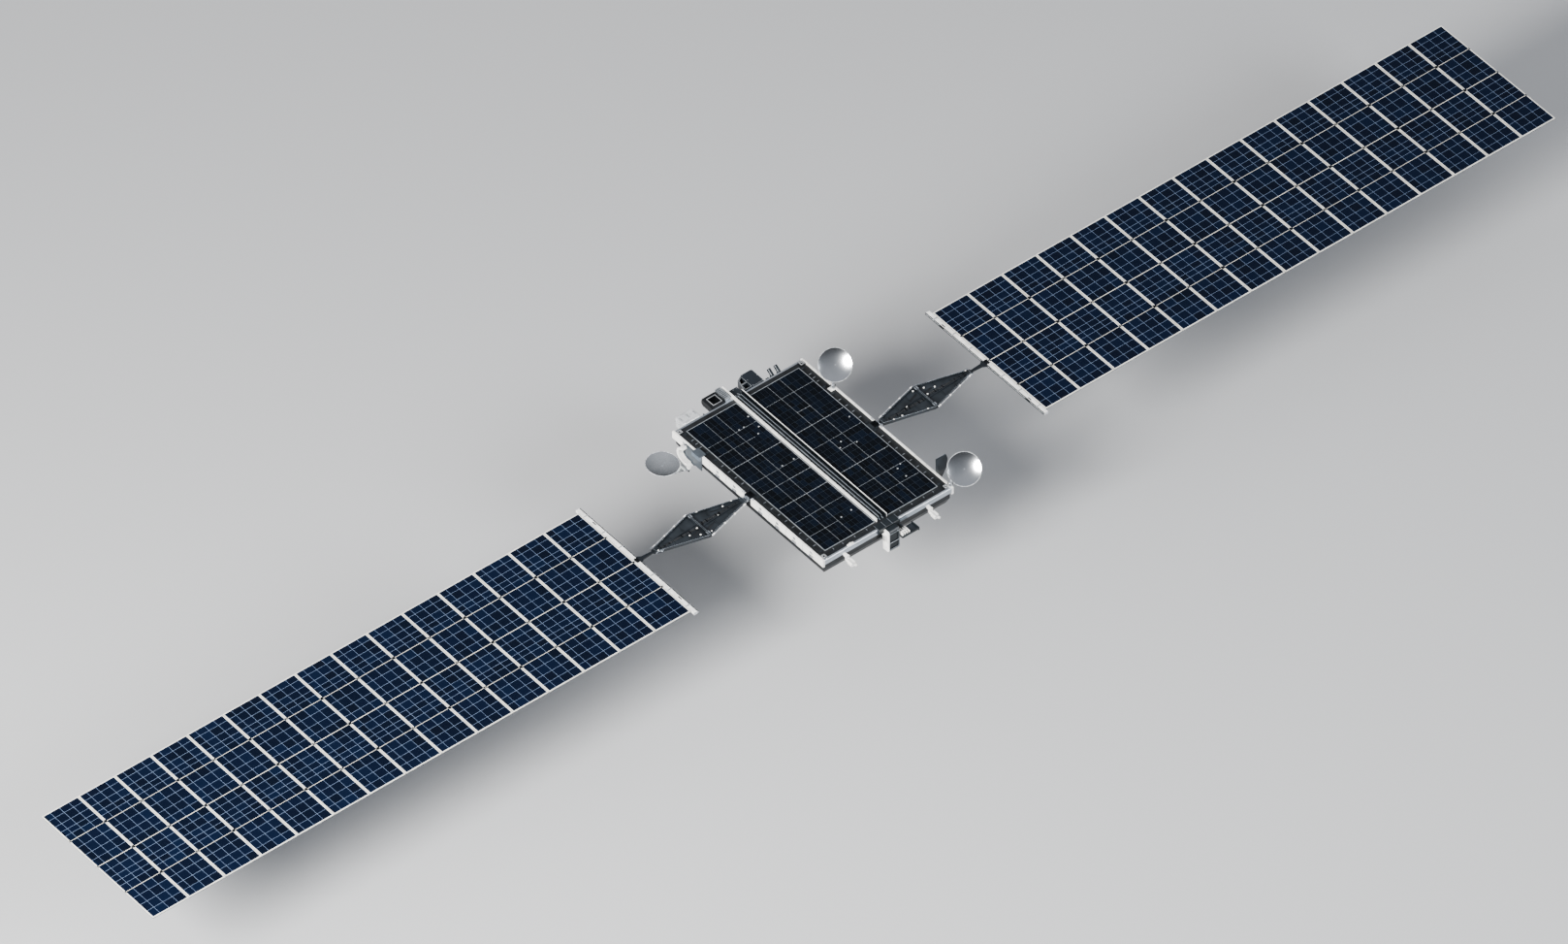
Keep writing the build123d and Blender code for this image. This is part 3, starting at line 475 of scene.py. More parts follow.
def makeZoned(name, axis, zones, span=1.5, mirrored=False, push=None):
    # one assembly in several finishes: each zone is its start, colour, roughness and metallic
    # push moves what lies past a limit on another axis into a zone further on
    material, tree, shader, place = startMaterial(name, IOR=1.5)
    split = addNode(tree, "ShaderNodeSeparateXYZ", links={"Vector": place})
    reach = split.outputs[axis]
    if mirrored:
        reach = addMath(tree, "ABSOLUTE", {0: reach})
    if push:
        beyond = addMath(tree, "GREATER_THAN", {0: split.outputs[push[0]]}, {1: push[1]})
        reach = addMath(tree, "MULTIPLY_ADD", {0: beyond, 2: reach}, {1: push[2]})
    along = addRange(tree, reach, 0.0, 1.0, -span, span)
    steps = [((start + span) / (2 * span), colour) for start, colour, gloss, metal in zones]
    tones = addRamp(tree, along, steps)
    finish = addNode(tree, "ShaderNodeValToRGB", links={"Fac": along})
    tones.color_ramp.interpolation = finish.color_ramp.interpolation = "CONSTANT"
    for number, (start, colour, gloss, metal) in enumerate(zones):
        position = (start + span) / (2 * span)
        if number < 2:
            element = finish.color_ramp.elements[number]
            element.position = position
        else:
            element = finish.color_ramp.elements.new(position)
        element.color = (gloss, metal, 0, 1)
    values = addNode(tree, "ShaderNodeSeparateColor", links={"Color": finish.outputs[0]})
    worn = addRange(tree, addNoise(tree, place, 8.0, 5.0), 0.78, 1.06, 0.3, 0.7)
    shade = addNode(
        tree, "ShaderNodeVectorMath", {"operation": "SCALE"}, links={0: tones.outputs[0], "Scale": worn}
    )
    rough = addMath(tree, "MULTIPLY", {0: values.outputs[0], 1: worn})
    metals = {metal for start, colour, gloss, metal in zones}
    if len(metals) > 1:
        tree.links.new(values.outputs[1], shader.inputs["Metallic"])
    else:
        shader.inputs["Metallic"].default_value = metals.pop()
    dressShader(tree, shader, shade.outputs[0], rough, addNoise(tree, place, 420.0), 0.0002)
    return material


substrate = makeSubstrate()
# rear row: painted case, foil hood, milled radiator, bare plate, enamel box, white trackers
rearRow = makeZoned("rearRowFinishes", "X", (
    (-1.5, "#d6d8da", 0.3, 0.3), (-0.6, "#17191c", 0.36, 0.0), (-0.247, "#b9bec3", 0.28, 0.7),
    (-0.1, "#3a4046", 0.36, 0.5), (0.135, "#262c33", 0.38, 0.0), (0.66, "#30363c", 0.36, 0.2),
))
# front group: white gusset and ribbed foot, then the dark saddle, post and shelf
frontGroup = makeZoned("frontGroupFinishes", "X", (
    (-1.5, "#1e2328", 0.42, 0.0), (-0.1765, "#f0f0ed", 0.35, 0.0), (-0.1225, "#20262b", 0.4, 0.0),
), push=("Y", -2.0101, 0.5))
# spine: two white painted outer rails, a charcoal channel and two dull inner rails
spineRow = makeZoned("spineFinishes", "X", (
    (-0.5, "#1b1f24", 0.4, 0.0), (0.0226, "#a9b0b6", 0.3, 0.6), (0.0374, "#1b1f24", 0.4, 0.0),
    (0.0915, "#f3f3f0", 0.3, 0.0),
), span=0.5, mirrored=True)
# root bar: white beam, with its lug to the yoke in charcoal
barRow = makeZoned("rootBarFinishes", "X", (
    (-4.0, "#1f2429", 0.4, 0.0), (3.6405, "#f5f5f2", 0.3, 0.0),
), span=4.0, mirrored=True)
# side bracket: white crescent and arm; the wall plate inside the crescent, and the inner end of the crescent
# beside it, are painted dark grey as painted shade, and the cap shares that grey; white feet on the other
# side
feetRowWithPaintedShade = makeZoned("dishFeetFinishesPaintedShade", "X", (
    (-2.0, "#f4f4f1", 0.3, 0.0), (-1.413, "#5d646b", 0.36, 0.3), (0.5, "#f2f2ef", 0.32, 0.0),
), span=2.0, push=("Z", 0.0501, 0.3))
# wing panels: warm white tape round the face, slate laminate on the back, dark knuckles on top
panelRow = makeZoned("panelFinishes", "Z", (
    (-0.05, "#4d545c", 0.5, 0.0), (0.0, "#efece2", 0.48, 0.0), (0.0122, "#26292d", 0.4, 0.5),
), span=0.05)
wingGlass = makeCellGlass(
    "solarCoverGlassNavy",
    ((0.0, "#040d1f"), (0.5, "#051127"), (1.0, "#07172f")), 0.009, 0.2,
)
deckGlass = makeCellGlass(
    "deckCoverGlassDark",
    ((0.0, "#03060b"), (0.5, "#050a13"), (1.0, "#081220")), 0.014, 0.16,
)
reflectorSkin = makeReflector()
print("materials ready")

clearSelection()
bpy.ops.mesh.primitive_plane_add(size=studio["floorReach"], location=(0, 0, studio["floorHeight"]))
floor = nameNew("studioFloor")
floor.data.materials.append(makeFloorFinish())

world = bpy.data.worlds.new("softStudioSky")
bpy.context.scene.world = world
world.use_nodes = True
# soft ceiling: dim near the horizon, bright overhead, so that metal has something to mirror
skyTree = world.node_tree
sky = addNode(skyTree, "ShaderNodeTexCoord")
skySplit = addNode(skyTree, "ShaderNodeSeparateXYZ", links={"Vector": sky.outputs["Generated"]})
skyRise = addRange(skyTree, skySplit.outputs["Z"], studio["skyLow"], studio["skyHigh"], 0.15, 0.95)
skyTree.nodes["Background"].inputs["Color"].default_value = (0.93, 0.95, 1.0, 1.0)
skyTree.links.new(skyRise, skyTree.nodes["Background"].inputs["Strength"])
bpy.context.scene.view_settings.look = "AgX - Medium High Contrast"
print("studio ready")


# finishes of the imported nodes

nodeFinish = {
    "bus_body": blackFoil, "side_rails": whitePaint, "end_rails": satinAluminium,
    "deck_panels": tinnedTrack, "spine_rails": spineRow, "nadir_tiles": radomeLaminate,
    "rear_equipment": rearRow, "front_cover": frontGroup,
    # dish_feet takes the zoned finish whose grey wall plate is painted shade
    "latch_fittings": whitePaint, "side_fin": carbonSheet, "dish_feet": feetRowWithPaintedShade,
    "drive_housings": carbonSheet,
}
for side, turn in sides:
    nodeFinish[side + "_drive_clevis"] = satinAluminium
    nodeFinish[side + "_yoke_inner"] = carbonSheet
    nodeFinish[side + "_yoke_outer"] = carbonSheet
    nodeFinish[side + "_strut_inner"] = machinedAluminium
    nodeFinish[side + "_strut_outer"] = machinedAluminium
    nodeFinish[side + "_root_bar"] = barRow
    for number in range(1, 16):
        nodeFinish[f"{side}_panel_{number:02d}"] = panelRow
for letter in "abc":
    nodeFinish["gimbal_" + letter] = machinedAluminium
    # dish c takes the silver painted brighter, a painted highlight
    nodeFinish["reflector_" + letter] = paintedHighlightReflector if letter == "c" else reflectorSkin
for nodeName, material in nodeFinish.items():
    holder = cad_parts[nodeName]
    for slotIndex in range(len(holder.material_slots)):
        holder.material_slots[slotIndex].material = material
print("nodes dressed")


# solar wings

wing = {
    "firstFold": 3.735, "pitch": 0.735, "halfWidth": 1.47, "count": 15,
    "edgeTape": 0.018, "gap": 0.012, "faceHeight": 0.011, "recess": 0.0012,
    "columnCuts": (0.217, 0.467, 0.725), "cellGap": 0.0032, "glass": 0.0008, "film": 0.00015,
    "markStep": 1.37,
    "rowCuts": (
        0.153, 0.325, 0.478, 0.594, 0.735, 0.925, 1.127, 1.299,
        1.470, 1.629, 1.795, 1.923, 2.040, 2.205, 2.389, 2.579, 2.756,
    ),
}
faceStart = wing["firstFold"] + wing["gap"] / 2 + wing["edgeTape"]
faceEnd = wing["firstFold"] + wing["pitch"] - wing["gap"] / 2 - wing["edgeTape"]
faceSide = wing["halfWidth"] - wing["edgeTape"]
faceFloor = wing["faceHeight"] - wing["recess"]


def makeCellSheet():
    columns = [wing["firstFold"] + share * wing["pitch"] for share in wing["columnCuts"]]
    rows = [wing["halfWidth"] - distance for distance in wing["rowCuts"]]
    return makeCells(
        "cellSheet", (faceStart, -faceSide), (faceEnd, faceSide), faceFloor + wing["film"],
        columns, rows, wing["cellGap"], wing["glass"], wing["markStep"],
    )


rowTape = {
    # distance from the middle and width of each tape
    "lines": ((-0.735, 0.010), (0.0, 0.014), (0.735, 0.010)), "height": 0.0011, "lap": 0.001, "lift": 0.0002,
}


def makeRowTapes():
    # white tapes over the row joints of a panel
    z = faceFloor + rowTape["lift"]
    x0, x1 = faceStart - rowTape["lap"], faceEnd + rowTape["lap"]
    strips = [
        startBlock("tape", (x0, y - width / 2, z), (x1, y + width / 2, z + rowTape["height"]))
        for y, width in rowTape["lines"]
    ]
    return joinPieces("rowTapes", strips, 0.0004, 1)


backRib = {
    "count": 4, "width": 0.022, "height": 0.0014, "half": 1.42, "margin": 0.05,
    "flatCable": 0.034, "cableLines": (-1.1, -0.37, 0.37, 1.1), "cableReach": 0.03, "cableShare": 0.7,
}


def makeBackRibs():
    # underside of a panel: thin doubler strips across it and four flat cables along the span
    x0 = wing["firstFold"] + backRib["margin"]
    x1 = wing["firstFold"] + wing["pitch"] - backRib["margin"]
    z, reach = -wing["faceHeight"], backRib["cableReach"]
    strips = [
        startPad("rib", x, 0, backRib["width"] / 2, backRib["half"], z - backRib["height"], z)
        for x in spread(x0, x1, backRib["count"])
    ]
    halfCable = backRib["flatCable"] / 2
    for y in backRib["cableLines"]:
        low = z - backRib["height"] * backRib["cableShare"]
        strips.append(startBlock("rib", (x0 - reach, y - halfCable, low), (x1 + reach, y + halfCable, z)))
    return joinPieces("backRibs", strips, 0.0005, 1)


foldCap = {
    "length": 0.046, "height": 0.0014, "rows": (-0.735, 0.0, 0.735), "inner": 0.0062, "outer": 0.0245,
    "screwShifts": (-0.015, 0.015), "screwRadius": 0.004, "screwHeight": 0.0026,
}


def makeFoldCaps():
    # blackened hinge plates let into the tape at the three hinge rows, both edges of a panel
    caps = []
    z, half = wing["faceHeight"], foldCap["length"] / 2
    for y in foldCap["rows"]:
        for edgeX, way in ((0, 1), (wing["pitch"], -1)):
            inner = wing["firstFold"] + edgeX + way * foldCap["inner"]
            outer = wing["firstFold"] + edgeX + way * foldCap["outer"]
            caps.append(startBlock("cap", (inner, y - half, z), (outer, y + half, z + foldCap["height"])))
            middle, top = (inner + outer) / 2, z + foldCap["screwHeight"]
            for shift in foldCap["screwShifts"]:
                caps.append(startPin("cap", middle, y + shift, z, top, foldCap["screwRadius"], 10))
    return joinPieces("foldCaps", caps, 0.0006, 1)


def makeCarrier():
    # flexible carrier film that shows as fine grey-blue lines between the cells
    low = (faceStart, -faceSide, faceFloor)
    film = startBlock("carrier", low, (faceEnd, faceSide, faceFloor + wing["film"]))
    softenEdges(film, 0.00005, 1)
    return film


panelSet = (
    (makeCellSheet(), "cells_", wingGlass), (makeCarrier(), "film_", substrate),
    (makeRowTapes(), "tapes_", glassTape), (makeBackRibs(), "ribs_", substrate),
    (makeFoldCaps(), "caps_", blackenedSteel),
)
# cells keep the same row order on the left wing as on the right one
rowFlip = Matrix.Translation((2 * wing["firstFold"] + wing["pitch"], 0, 0)) @ halfTurn
for side, turn in sides:
    for number in range(1, wing["count"] + 1):
        shift = turn @ Matrix.Translation(((number - 1) * wing["pitch"], 0, 0))
        for first, label, material in panelSet:
            place = shift @ rowFlip if side == "left" and label == "cells_" else shift
            piece = copyOf(first, f"{label}{side}{number:02d}", place)
            finishPiece(piece, side + "_wing", material)
for first, label, material in panelSet:
    bpy.data.objects.remove(first)
print("wings ready")


# root bars

bar = {
    "half": 1.545, "deck": 0.0112, "slot": 1.12,
    "latchPlate": (3.6405, 3.6535), "latchBridge": (3.6705, 3.6915), "latchPin": (3.647, 0.004),
    "plateHalf": 0.036, "bridgeHalf": 0.043, "hingeBlock": (3.652, 3.716), "hingePin": (3.684, 0.0145),
    "capX": (3.638, 3.731), "capZ": (-0.033, 0.013), "capDepth": 0.0035,
    "straps": (0.42, 0.86, 1.34), "strapX": (3.6385, 3.7305), "strapHalf": 0.012, "strapTop": 0.0132,
    "lips": ((-1.53, -1.18), (-1.06, -0.07), (0.07, 1.06), (1.18, 1.53)), "lipX": (3.6375, 3.6398),
    "boltLines": (3.660, 3.712), "boltSpots": (*spread(0.12, 1.02, 7), 1.22, 1.30, 1.42, 1.50),
}


def makeBarLatches():
    # dark release latches in the waisted bays and the hinge block at the middle
    parts = []
    pinX, pinZ = bar["latchPin"]
    for y in (-bar["slot"], bar["slot"]):
        for (x0, x1), half, low, high in (
            (bar["latchPlate"], bar["plateHalf"], -0.004, 0.0095),
            (bar["latchBridge"], bar["bridgeHalf"], 0.0081, 0.0106),
        ):
            parts.append(startBlock("latch", (x0, y - half, low), (x1, y + half, high)))
        parts.append(startAxle("latch", (pinX, y, pinZ), (0, bar["bridgeHalf"], 0), 0.005))
    x0, x1 = bar["hingeBlock"]
    parts.append(startBlock("latch", (x0, -0.048, bar["deck"]), (x1, 0.048, 0.0205)))
    pinX, pinZ = bar["hingePin"]
    parts.append(startAxle("latch", (pinX, 0, pinZ), (0, 0.056, 0), 0.0075))
    return joinPieces("barLatches", parts, 0.0012)


def makeBarTrim():
    # end caps, joint straps and a raised lip along the inboard edge
    parts = []
    (x0, x1), (low, high), half = bar["capX"], bar["capZ"], bar["strapHalf"]
    strap0, strap1 = bar["strapX"]
    for sign in (-1, 1):
        end = sign * (bar["half"] + bar["capDepth"])
        parts.append(startBlock("cap", (x0, sign * bar["half"], low), (x1, end, high)))
        for y in [sign * strap for strap in bar["straps"]]:
            far = (strap1, y + half, bar["strapTop"])
            parts.append(startBlock("strap", (strap0, y - half, bar["deck"]), far))
    x0, x1 = bar["lipX"]
    for start, end in bar["lips"]:
        parts.append(startBlock("lip", (x0, start, -0.004), (x1, end, 0.0118)))
    return joinPieces("barTrim", parts, 0.0008)


def makeBarBolts():
    spots = [
        (x, sign * y, bar["deck"])
        for sign in (-1, 1) for y in bar["boltSpots"] for x in bar["boltLines"]
    ]
    return boltRow("barBolts", spots, 0.0042, 0.003)


barSet = (
    (makeBarLatches(), "BarLatches", blackenedSteel), (makeBarTrim(), "BarTrim", machinedAluminium),
    (makeBarBolts(), "BarBolts", machinedAluminium),
)
for side, turn in sides:
    for first, label, material in barSet:
        finishPiece(copyOf(first, side + label, turn), side + "_wing", material)
for first, label, material in barSet:
    bpy.data.objects.remove(first)
print("root bars ready")


# yokes

yoke = {
    "top": 0.030, "lip": 0.0045, "lipHeight": 0.0022, "lipInset": 0.003, "lipEnd": 0.004, "floor": -0.002,
    "inner": ((1.449, 0.062), (2.380, 0.308)), "outer": ((2.390, 0.308), (3.321, 0.046)),
    "posts": (
        (2.310, 0.235), (2.455, 0.030), (2.500, 0.185), (2.655, 0.090), (2.000, 0.020), (1.810, -0.105),
    ),
    "boltInset": 0.011, "rivetInset": 0.018, "rivets": 22, "linerInset": 0.026,
    "cable": 0.005, "cableLift": 0.006, "lanes": (-0.018, -0.006, 0.006, 0.018),
    "innerRun": (1.53, 2.348), "outerRun": (2.42, 3.225), "innerShift": -0.02, "outerShift": 0.03,
    "saddleX": 0.008, "saddleY": 0.032, "saddleTop": 0.0115,
    "innerSaddles": (1.60, 1.76, 1.95, 2.02, 2.22, 2.31),
    "outerSaddles": (2.46, 2.60, 2.76, 3.02, 3.12, 3.20),
    "sleeve": 0.0155, "sleeveHalf": 0.016, "sleeveOffset": 0.0183, "strutHeight": 0.016,
    "innerSleeves": (0.075, 0.34, 0.62, 0.94), "outerSleeves": (0.06, 0.36, 0.64, 0.93),
}


def makeYokeLips():
    # bright folded lips along the rims of both trays
    strips = []
    z, width, height = yoke["top"] + yoke["lipHeight"] / 2, yoke["lip"], yoke["lipHeight"]
    for (x0, w0), (x1, w1) in (yoke["inner"], yoke["outer"]):
        x0, x1 = x0 + yoke["lipEnd"], x1 - yoke["lipEnd"]
        for sign in (-1, 1):
            start = (x0, sign * (w0 - yoke["lipInset"]), z)
            strips.append(startBeam("lip", start, (x1, sign * (w1 - yoke["lipInset"]), z), width, height))
        for x, w in ((x0, w0 - yoke["lipEnd"]), (x1, w1 - yoke["lipEnd"])):
            strips.append(startBeam("lip", (x, -w, z), (x, w, z), width, height))
    return joinPieces("yokeLips", strips, 0.0006, 1)


def rimSpot(link, share, sign, inset=yoke["boltInset"]):
    (x0, w0), (x1, w1) = yoke[link]
    return (x0 + (x1 - x0) * share, sign * (w0 + (w1 - w0) * share - inset), yoke["top"])


def makeYokeBolts():
    # white domes: three on the rims, the rest on posts that stand on the tray floors
    spots = [rimSpot("inner", 0.2, -1), rimSpot("inner", 0.84, -1), rimSpot("outer", 0.95, 1)]
    parts = [boltRow("yokeBolts", spots, 0.0105, 0.0085)]
    for x, y in yoke["posts"]:
        parts.append(startPin("post", x, y, -0.0022, 0.009, 0.010, 14))
        parts.append(startPin("post", x, y, 0.007, 0.016, 0.0155, 18))
    return joinPieces("yokeBolts", parts, 0.0025)


def makeYokeRivets():
    spots = [
        rimSpot(link, share, sign, yoke["rivetInset"])
        for link in ("inner", "outer") for share in spread(0.05, 0.95, yoke["rivets"]) for sign in (-1, 1)
    ]
    return boltRow("yokeRivets", spots, 0.003, 0.002)


def makeYokeHarness():
    # power cables in the floor of the trays
    runs = []
    z = yoke["floor"] + yoke["cableLift"]
    (x0, x1), (x2, x3) = yoke["innerRun"], yoke["outerRun"]
    for lane in yoke["lanes"]:
        y = lane + yoke["innerShift"]
        runs.append(startRod("cable", (x0, y, z), (x1, y, z), yoke["cable"], 10))
        runs.append(startRod("cable", (x2, lane + yoke["outerShift"], z), (x3, lane, z), yoke["cable"], 10))
    return joinPieces("yokeHarness", runs)


def makeYokeSaddles():
    # straps over the cables, which drift to the middle along the outer tray
    start, end = yoke["outerRun"]
    middles = [(x, yoke["innerShift"]) for x in yoke["innerSaddles"]]
    middles += [(x, yoke["outerShift"] * (end - x) / (end - start)) for x in yoke["outerSaddles"]]
    size = (yoke["saddleX"], yoke["saddleY"], yoke["floor"], yoke["saddleTop"])
    saddles = [startPad("saddle", x, y, *size) for x, y in middles]
    return joinPieces("yokeSaddles", saddles, 0.0015)


def makeYokeLiner():
    # foil sheets behind the lightening holes, under the tray floors
    sheets = []
    for (x0, w0), (x1, w1) in (yoke["inner"], yoke["outer"]):
        sheet = startBlock("liner", (x0 + 0.012, -1, -0.0098), (x1 - 0.012, 1, -0.0082))
        for vertex in sheet.data.vertices:
            share = (vertex.co.x - x0) / (x1 - x0)
            vertex.co.y *= w0 + (w1 - w0) * share - yoke["linerInset"]
        sheets.append(sheet)
    return joinPieces("yokeLiner", sheets, 0.0004, 1)


def makeTipClaws():
    # hooked guides either side of the outer tip, and the covers of the elbow knuckles
    claws = []
    for sign in (-1, 1):
        bend = (3.305, sign * 0.066, 0.024)
        claws += [
            startBeam("claw", (3.19, sign * 0.088, 0.020), bend, 0.012, 0.016),
            startBeam("claw", bend, (3.345, sign * 0.082, 0.014), 0.012, 0.016),
            startRod("claw", (3.232, sign * 0.074, 0.012), (3.232, sign * 0.104, 0.012), 0.009),
        ]
    for y in (-0.238, 0.238):
        for x in (2.364, 2.406):
            claws.append(startPad("cover", x, y, 0.012, 0.032, 0.0302, 0.0372))
    return joinPieces("tipClaws", claws, 0.002)


def makeStrutSleeves():
    # white sleeves that clamp the edge struts, one strut on each side of the yoke
    sleeves = []
    reach, z = yoke["sleeveHalf"], yoke["strutHeight"]
    for link, sign in (("inner", 1), ("outer", -1)):
        (x0, w0), (x1, w1) = yoke[link]
        slope = (w1 - w0) / (x1 - x0)
        offset = yoke["sleeveOffset"] * math.sqrt(1 + slope * slope)
        for share in yoke[link + "Sleeves"]:
            x = x0 + (x1 - x0) * share
            y = sign * (w0 + slope * (x - x0) + offset)
            sleeves.append(startAxle("sleeve", (x, y, z), (reach, sign * reach * slope, 0), yoke["sleeve"]))
    return joinPieces("strutSleeves", sleeves, 0.002)


finishBothSides(makeYokeLips(), "YokeLips", "_wing", satinAluminium)
finishBothSides(makeYokeBolts(), "YokeBolts", "_wing", whitePaint)
finishBothSides(makeYokeRivets(), "YokeRivets", "_wing", satinAluminium)
finishBothSides(makeYokeHarness(), "YokeHarness", "_wing", blackFoil)
finishBothSides(makeYokeSaddles(), "YokeSaddles", "_wing", blackenedSteel)
finishBothSides(makeYokeLiner(), "YokeLiner", "_wing", blackFoil)
finishBothSides(makeTipClaws(), "TipClaws", "_wing", satinAluminium)
finishBothSides(makeStrutSleeves(), "StrutSleeves", "_wing", whitePaint)
print("yokes ready")


# deck panels: cells, tracks and buttons

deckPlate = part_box("deck_panels")
deck = {
    "inner": 0.1425, "outer": deckPlate[1][0] - 0.0105, "front": deckPlate[0][1] + 0.0105,
    "rear": deckPlate[1][1] - 0.0105, "floor": deckPlate[1][2] - 0.002, "glass": 0.0012,
    "gap": 0.0022, "film": 0.0002, "markStep": 2.11,
    "right": {
        "columns": (0.235, 0.330, 0.415, 0.498, 0.585, 0.675, 0.763, 0.860, 0.955, 1.070),
        "rows": (1.62, 1.436, 1.29, 1.16, 1.016, 0.87, 0.75, 0.638, 0.48, 0.33, 0.176, 0.03,
                 -0.118, -0.26, -0.40, -0.538, -0.69, -0.84, -0.979, -1.10, -1.22, -1.336, -1.48, -1.63),
    },
    "left": {
        "columns": (-0.235, -0.330, -0.415, -0.498, -0.581, -0.669, -0.757, -0.846, -0.960, -1.075),
        "rows": (1.62, 1.45, 1.289, 1.16, 1.016, 0.87, 0.76, 0.651, 0.48, 0.33, 0.176, 0.03,
                 -0.118, -0.27, -0.41, -0.559, -0.69, -0.84, -0.979, -1.10, -1.24, -1.378, -1.50, -1.63),
    },
}

for side, sign in (("right", 1), ("left", -1)):
    low, high = (sign * deck["inner"], deck["front"]), (sign * deck["outer"], deck["rear"])
    cells = makeCells(
        side + "DeckCells", low, high, deck["floor"], deck[side]["columns"], deck[side]["rows"],
        deck["gap"], deck["glass"], deck["markStep"],
    )
    finishPiece(cells, "bus", deckGlass)
    film = startBlock(side + "DeckFilm", (*low, deck["floor"]), (*high, deck["floor"] + deck["film"]))
    softenEdges(film, 0.00005, 1)
    finishPiece(film, "bus", deckFilm)

trackPlan = {
    # start, end, width, spacing of the solder buttons
    "strong": (
        ((-0.150, 0.651), (-1.17, 0.651), 0.007, 0.056), ((-0.150, -0.559), (-1.15, -0.559), 0.007, 0.056),
        ((0.150, 0.638), (1.16, 0.638), 0.007, 0.056), ((0.150, -0.538), (1.16, -0.538), 0.007, 0.056),
        ((-0.150, -0.118), (-0.581, -0.118), 0.006, 0.06), ((0.498, 1.016), (0.763, 1.016), 0.006, 0.06),
    ),
    "fine": (
        ((-0.846, 1.80), (-0.846, -1.75), 0.005, 0.19), ((-0.581, 1.80), (-0.581, -1.75), 0.005, 0.19),
        ((0.498, 1.80), (0.498, -1.75), 0.005, 0.17), ((0.763, 1.80), (0.763, -1.75), 0.005, 0.15),
        ((-0.150, 0.176), (-1.15, 0.176), 0.0035, 0.21), ((-0.150, -0.979), (-1.16, -0.979), 0.005, 0.12),
        ((-0.581, -1.378), (-1.16, -1.378), 0.0045, 0.16), ((-0.150, 1.289), (-1.16, 1.289), 0.0035, 0.16),
        ((-0.40, 1.016), (-1.16, 1.016), 0.0035, 0.2), ((-0.581, -0.118), (-1.16, -0.118), 0.0035, 0.2),
        ((0.150, 1.436), (1.16, 1.436), 0.0045, 0.13), ((0.150, 0.176), (1.16, 0.176), 0.004, 0.13),
        ((0.498, -0.118), (0.80, -0.118), 0.0045, 0.12), ((0.150, -0.979), (1.16, -0.979), 0.005, 0.13),
        ((0.150, -1.336), (1.16, -1.336), 0.004, 0.16),
    ),
    "studRadius": 0.015, "studHeight": 0.010,
    "studs": (
        (-0.187, 1.457), (-0.500, 1.302), (-0.308, 1.037), (-0.481, 0.197), (-0.233, 0.205),
        (-0.258, -1.323), (-0.489, -1.350), (0.519, -0.076), (0.821, -0.139), (0.939, -1.050),
        (1.044, -0.992), (0.939, -1.273), (-0.40, 1.302), (-0.20, 1.16), (0.62, 0.03), (1.10, 0.40),
    ),
}
trackBase = deck["floor"] + deck["glass"]


def makeTracks(name, plan, height):
    # tinned strips laid over the gaps between cells
    z = trackBase + height / 2
    strips = [startBeam(name, (*start, z), (*end, z), width, height) for start, end, width, gap in plan]
    return joinPieces(name, strips, 0.0003, 1)


def makeButtons(name, plan, radius, height):
    # solder buttons spaced along every track
    first = startPin(name, 0, 0, 0, height, radius, 12)
    softenEdges(first, radius * 0.35)
    spots = []
    for start, end, width, gap in plan:
        count = max(2, round(math.dist(start, end) / gap))
        for share in spread(0.02, 0.98, count):
            spots.append([a + (b - a) * share for a, b in zip(start, end)] + [trackBase])
    return copyEach(first, name, spots)


def makeStuds():
    top = trackBase + trackPlan["studHeight"]
    first = startPin("stud", 0, 0, trackBase, top, trackPlan["studRadius"], 20)
    softenEdges(first, 0.004, 3)
    return copyEach(first, "deckStuds", [(x, y, 0) for x, y in trackPlan["studs"]])


strong, fine = trackPlan["strong"], trackPlan["fine"]
for piece, material in (
    (makeTracks("strongTracks", strong, 0.0016), tinnedTrack),
    (makeTracks("fineTracks", fine, 0.0011), tinnedTrack),
    (makeButtons("strongButtons", strong, 0.0075, 0.005), machinedAluminium),
    (makeButtons("fineButtons", fine, 0.006, 0.004), tinnedTrack),
    (makeStuds(), machinedAluminium),
):
    finishPiece(piece, "bus", material)
print("deck ready")


# deck margins: harness, clips, corner fittings and rail hardware

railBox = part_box("side_rails")
edge = {
    "deck": 0.030, "rail": railBox[1][2], "wall": railBox[1][0], "plate": 0.003,
    "lanes": (1.222, 1.236, 1.252), "leadRadius": 0.0045, "leadHeight": 0.036,
    "runs": ((-1.74, -0.13), (0.13, 0.98), (1.23, 1.76)),
    "clipHalf": 0.006, "clipLine": 1.2375, "clipReach": 0.0245, "clipHeight": 0.0125,
    "frontClips": (-1.05, -0.85, -0.6, -0.35, 0.35, 0.6, 0.85, 1.05),
    "shellX": (1.208, 1.266), "shellLength": 0.032, "shellHeight": 0.018,
    "nutX": (1.218, 1.256), "nutShift": 0.02, "nutHeight": 0.022,
}
marginRuns = [(sign, low, high) for sign in (-1, 1) for low, high in edge["runs"]]


def makeHarness():
    # three parallel leads along each long margin and two along the front one
    leads = []
    z = edge["leadHeight"]
    for sign, low, high in marginRuns:
        for number, lane in enumerate(edge["lanes"]):
            trim, x = 0.05 * number, sign * lane
            leads.append(startRod("lead", (x, low + trim, z), (x, high - trim, z), edge["leadRadius"], 10))
    for x0, x1 in ((-1.16, -0.15), (0.15, 1.16)):
        for y in (-1.826, -1.842):
            leads.append(startRod("lead", (x0, y, z), (x1, y, z), edge["leadRadius"], 10))
    return joinPieces("deckHarness", leads)


def makeHarnessClips():
    clips = []
    half, low, top = edge["clipHalf"], edge["deck"], edge["deck"] + edge["clipHeight"]
    for sign, start, end in marginRuns:
        for y in spread(start + 0.16, end - 0.16, max(2, round((end - start) / 0.2))):
            clips.append(startPad("clip", sign * edge["clipLine"], y, edge["clipReach"], half, low, top))
    for x in edge["frontClips"]:
        clips.append(startPad("clip", x, -1.834, half, 0.018, low, top))
    return joinPieces("harnessClips", clips, 0.002)


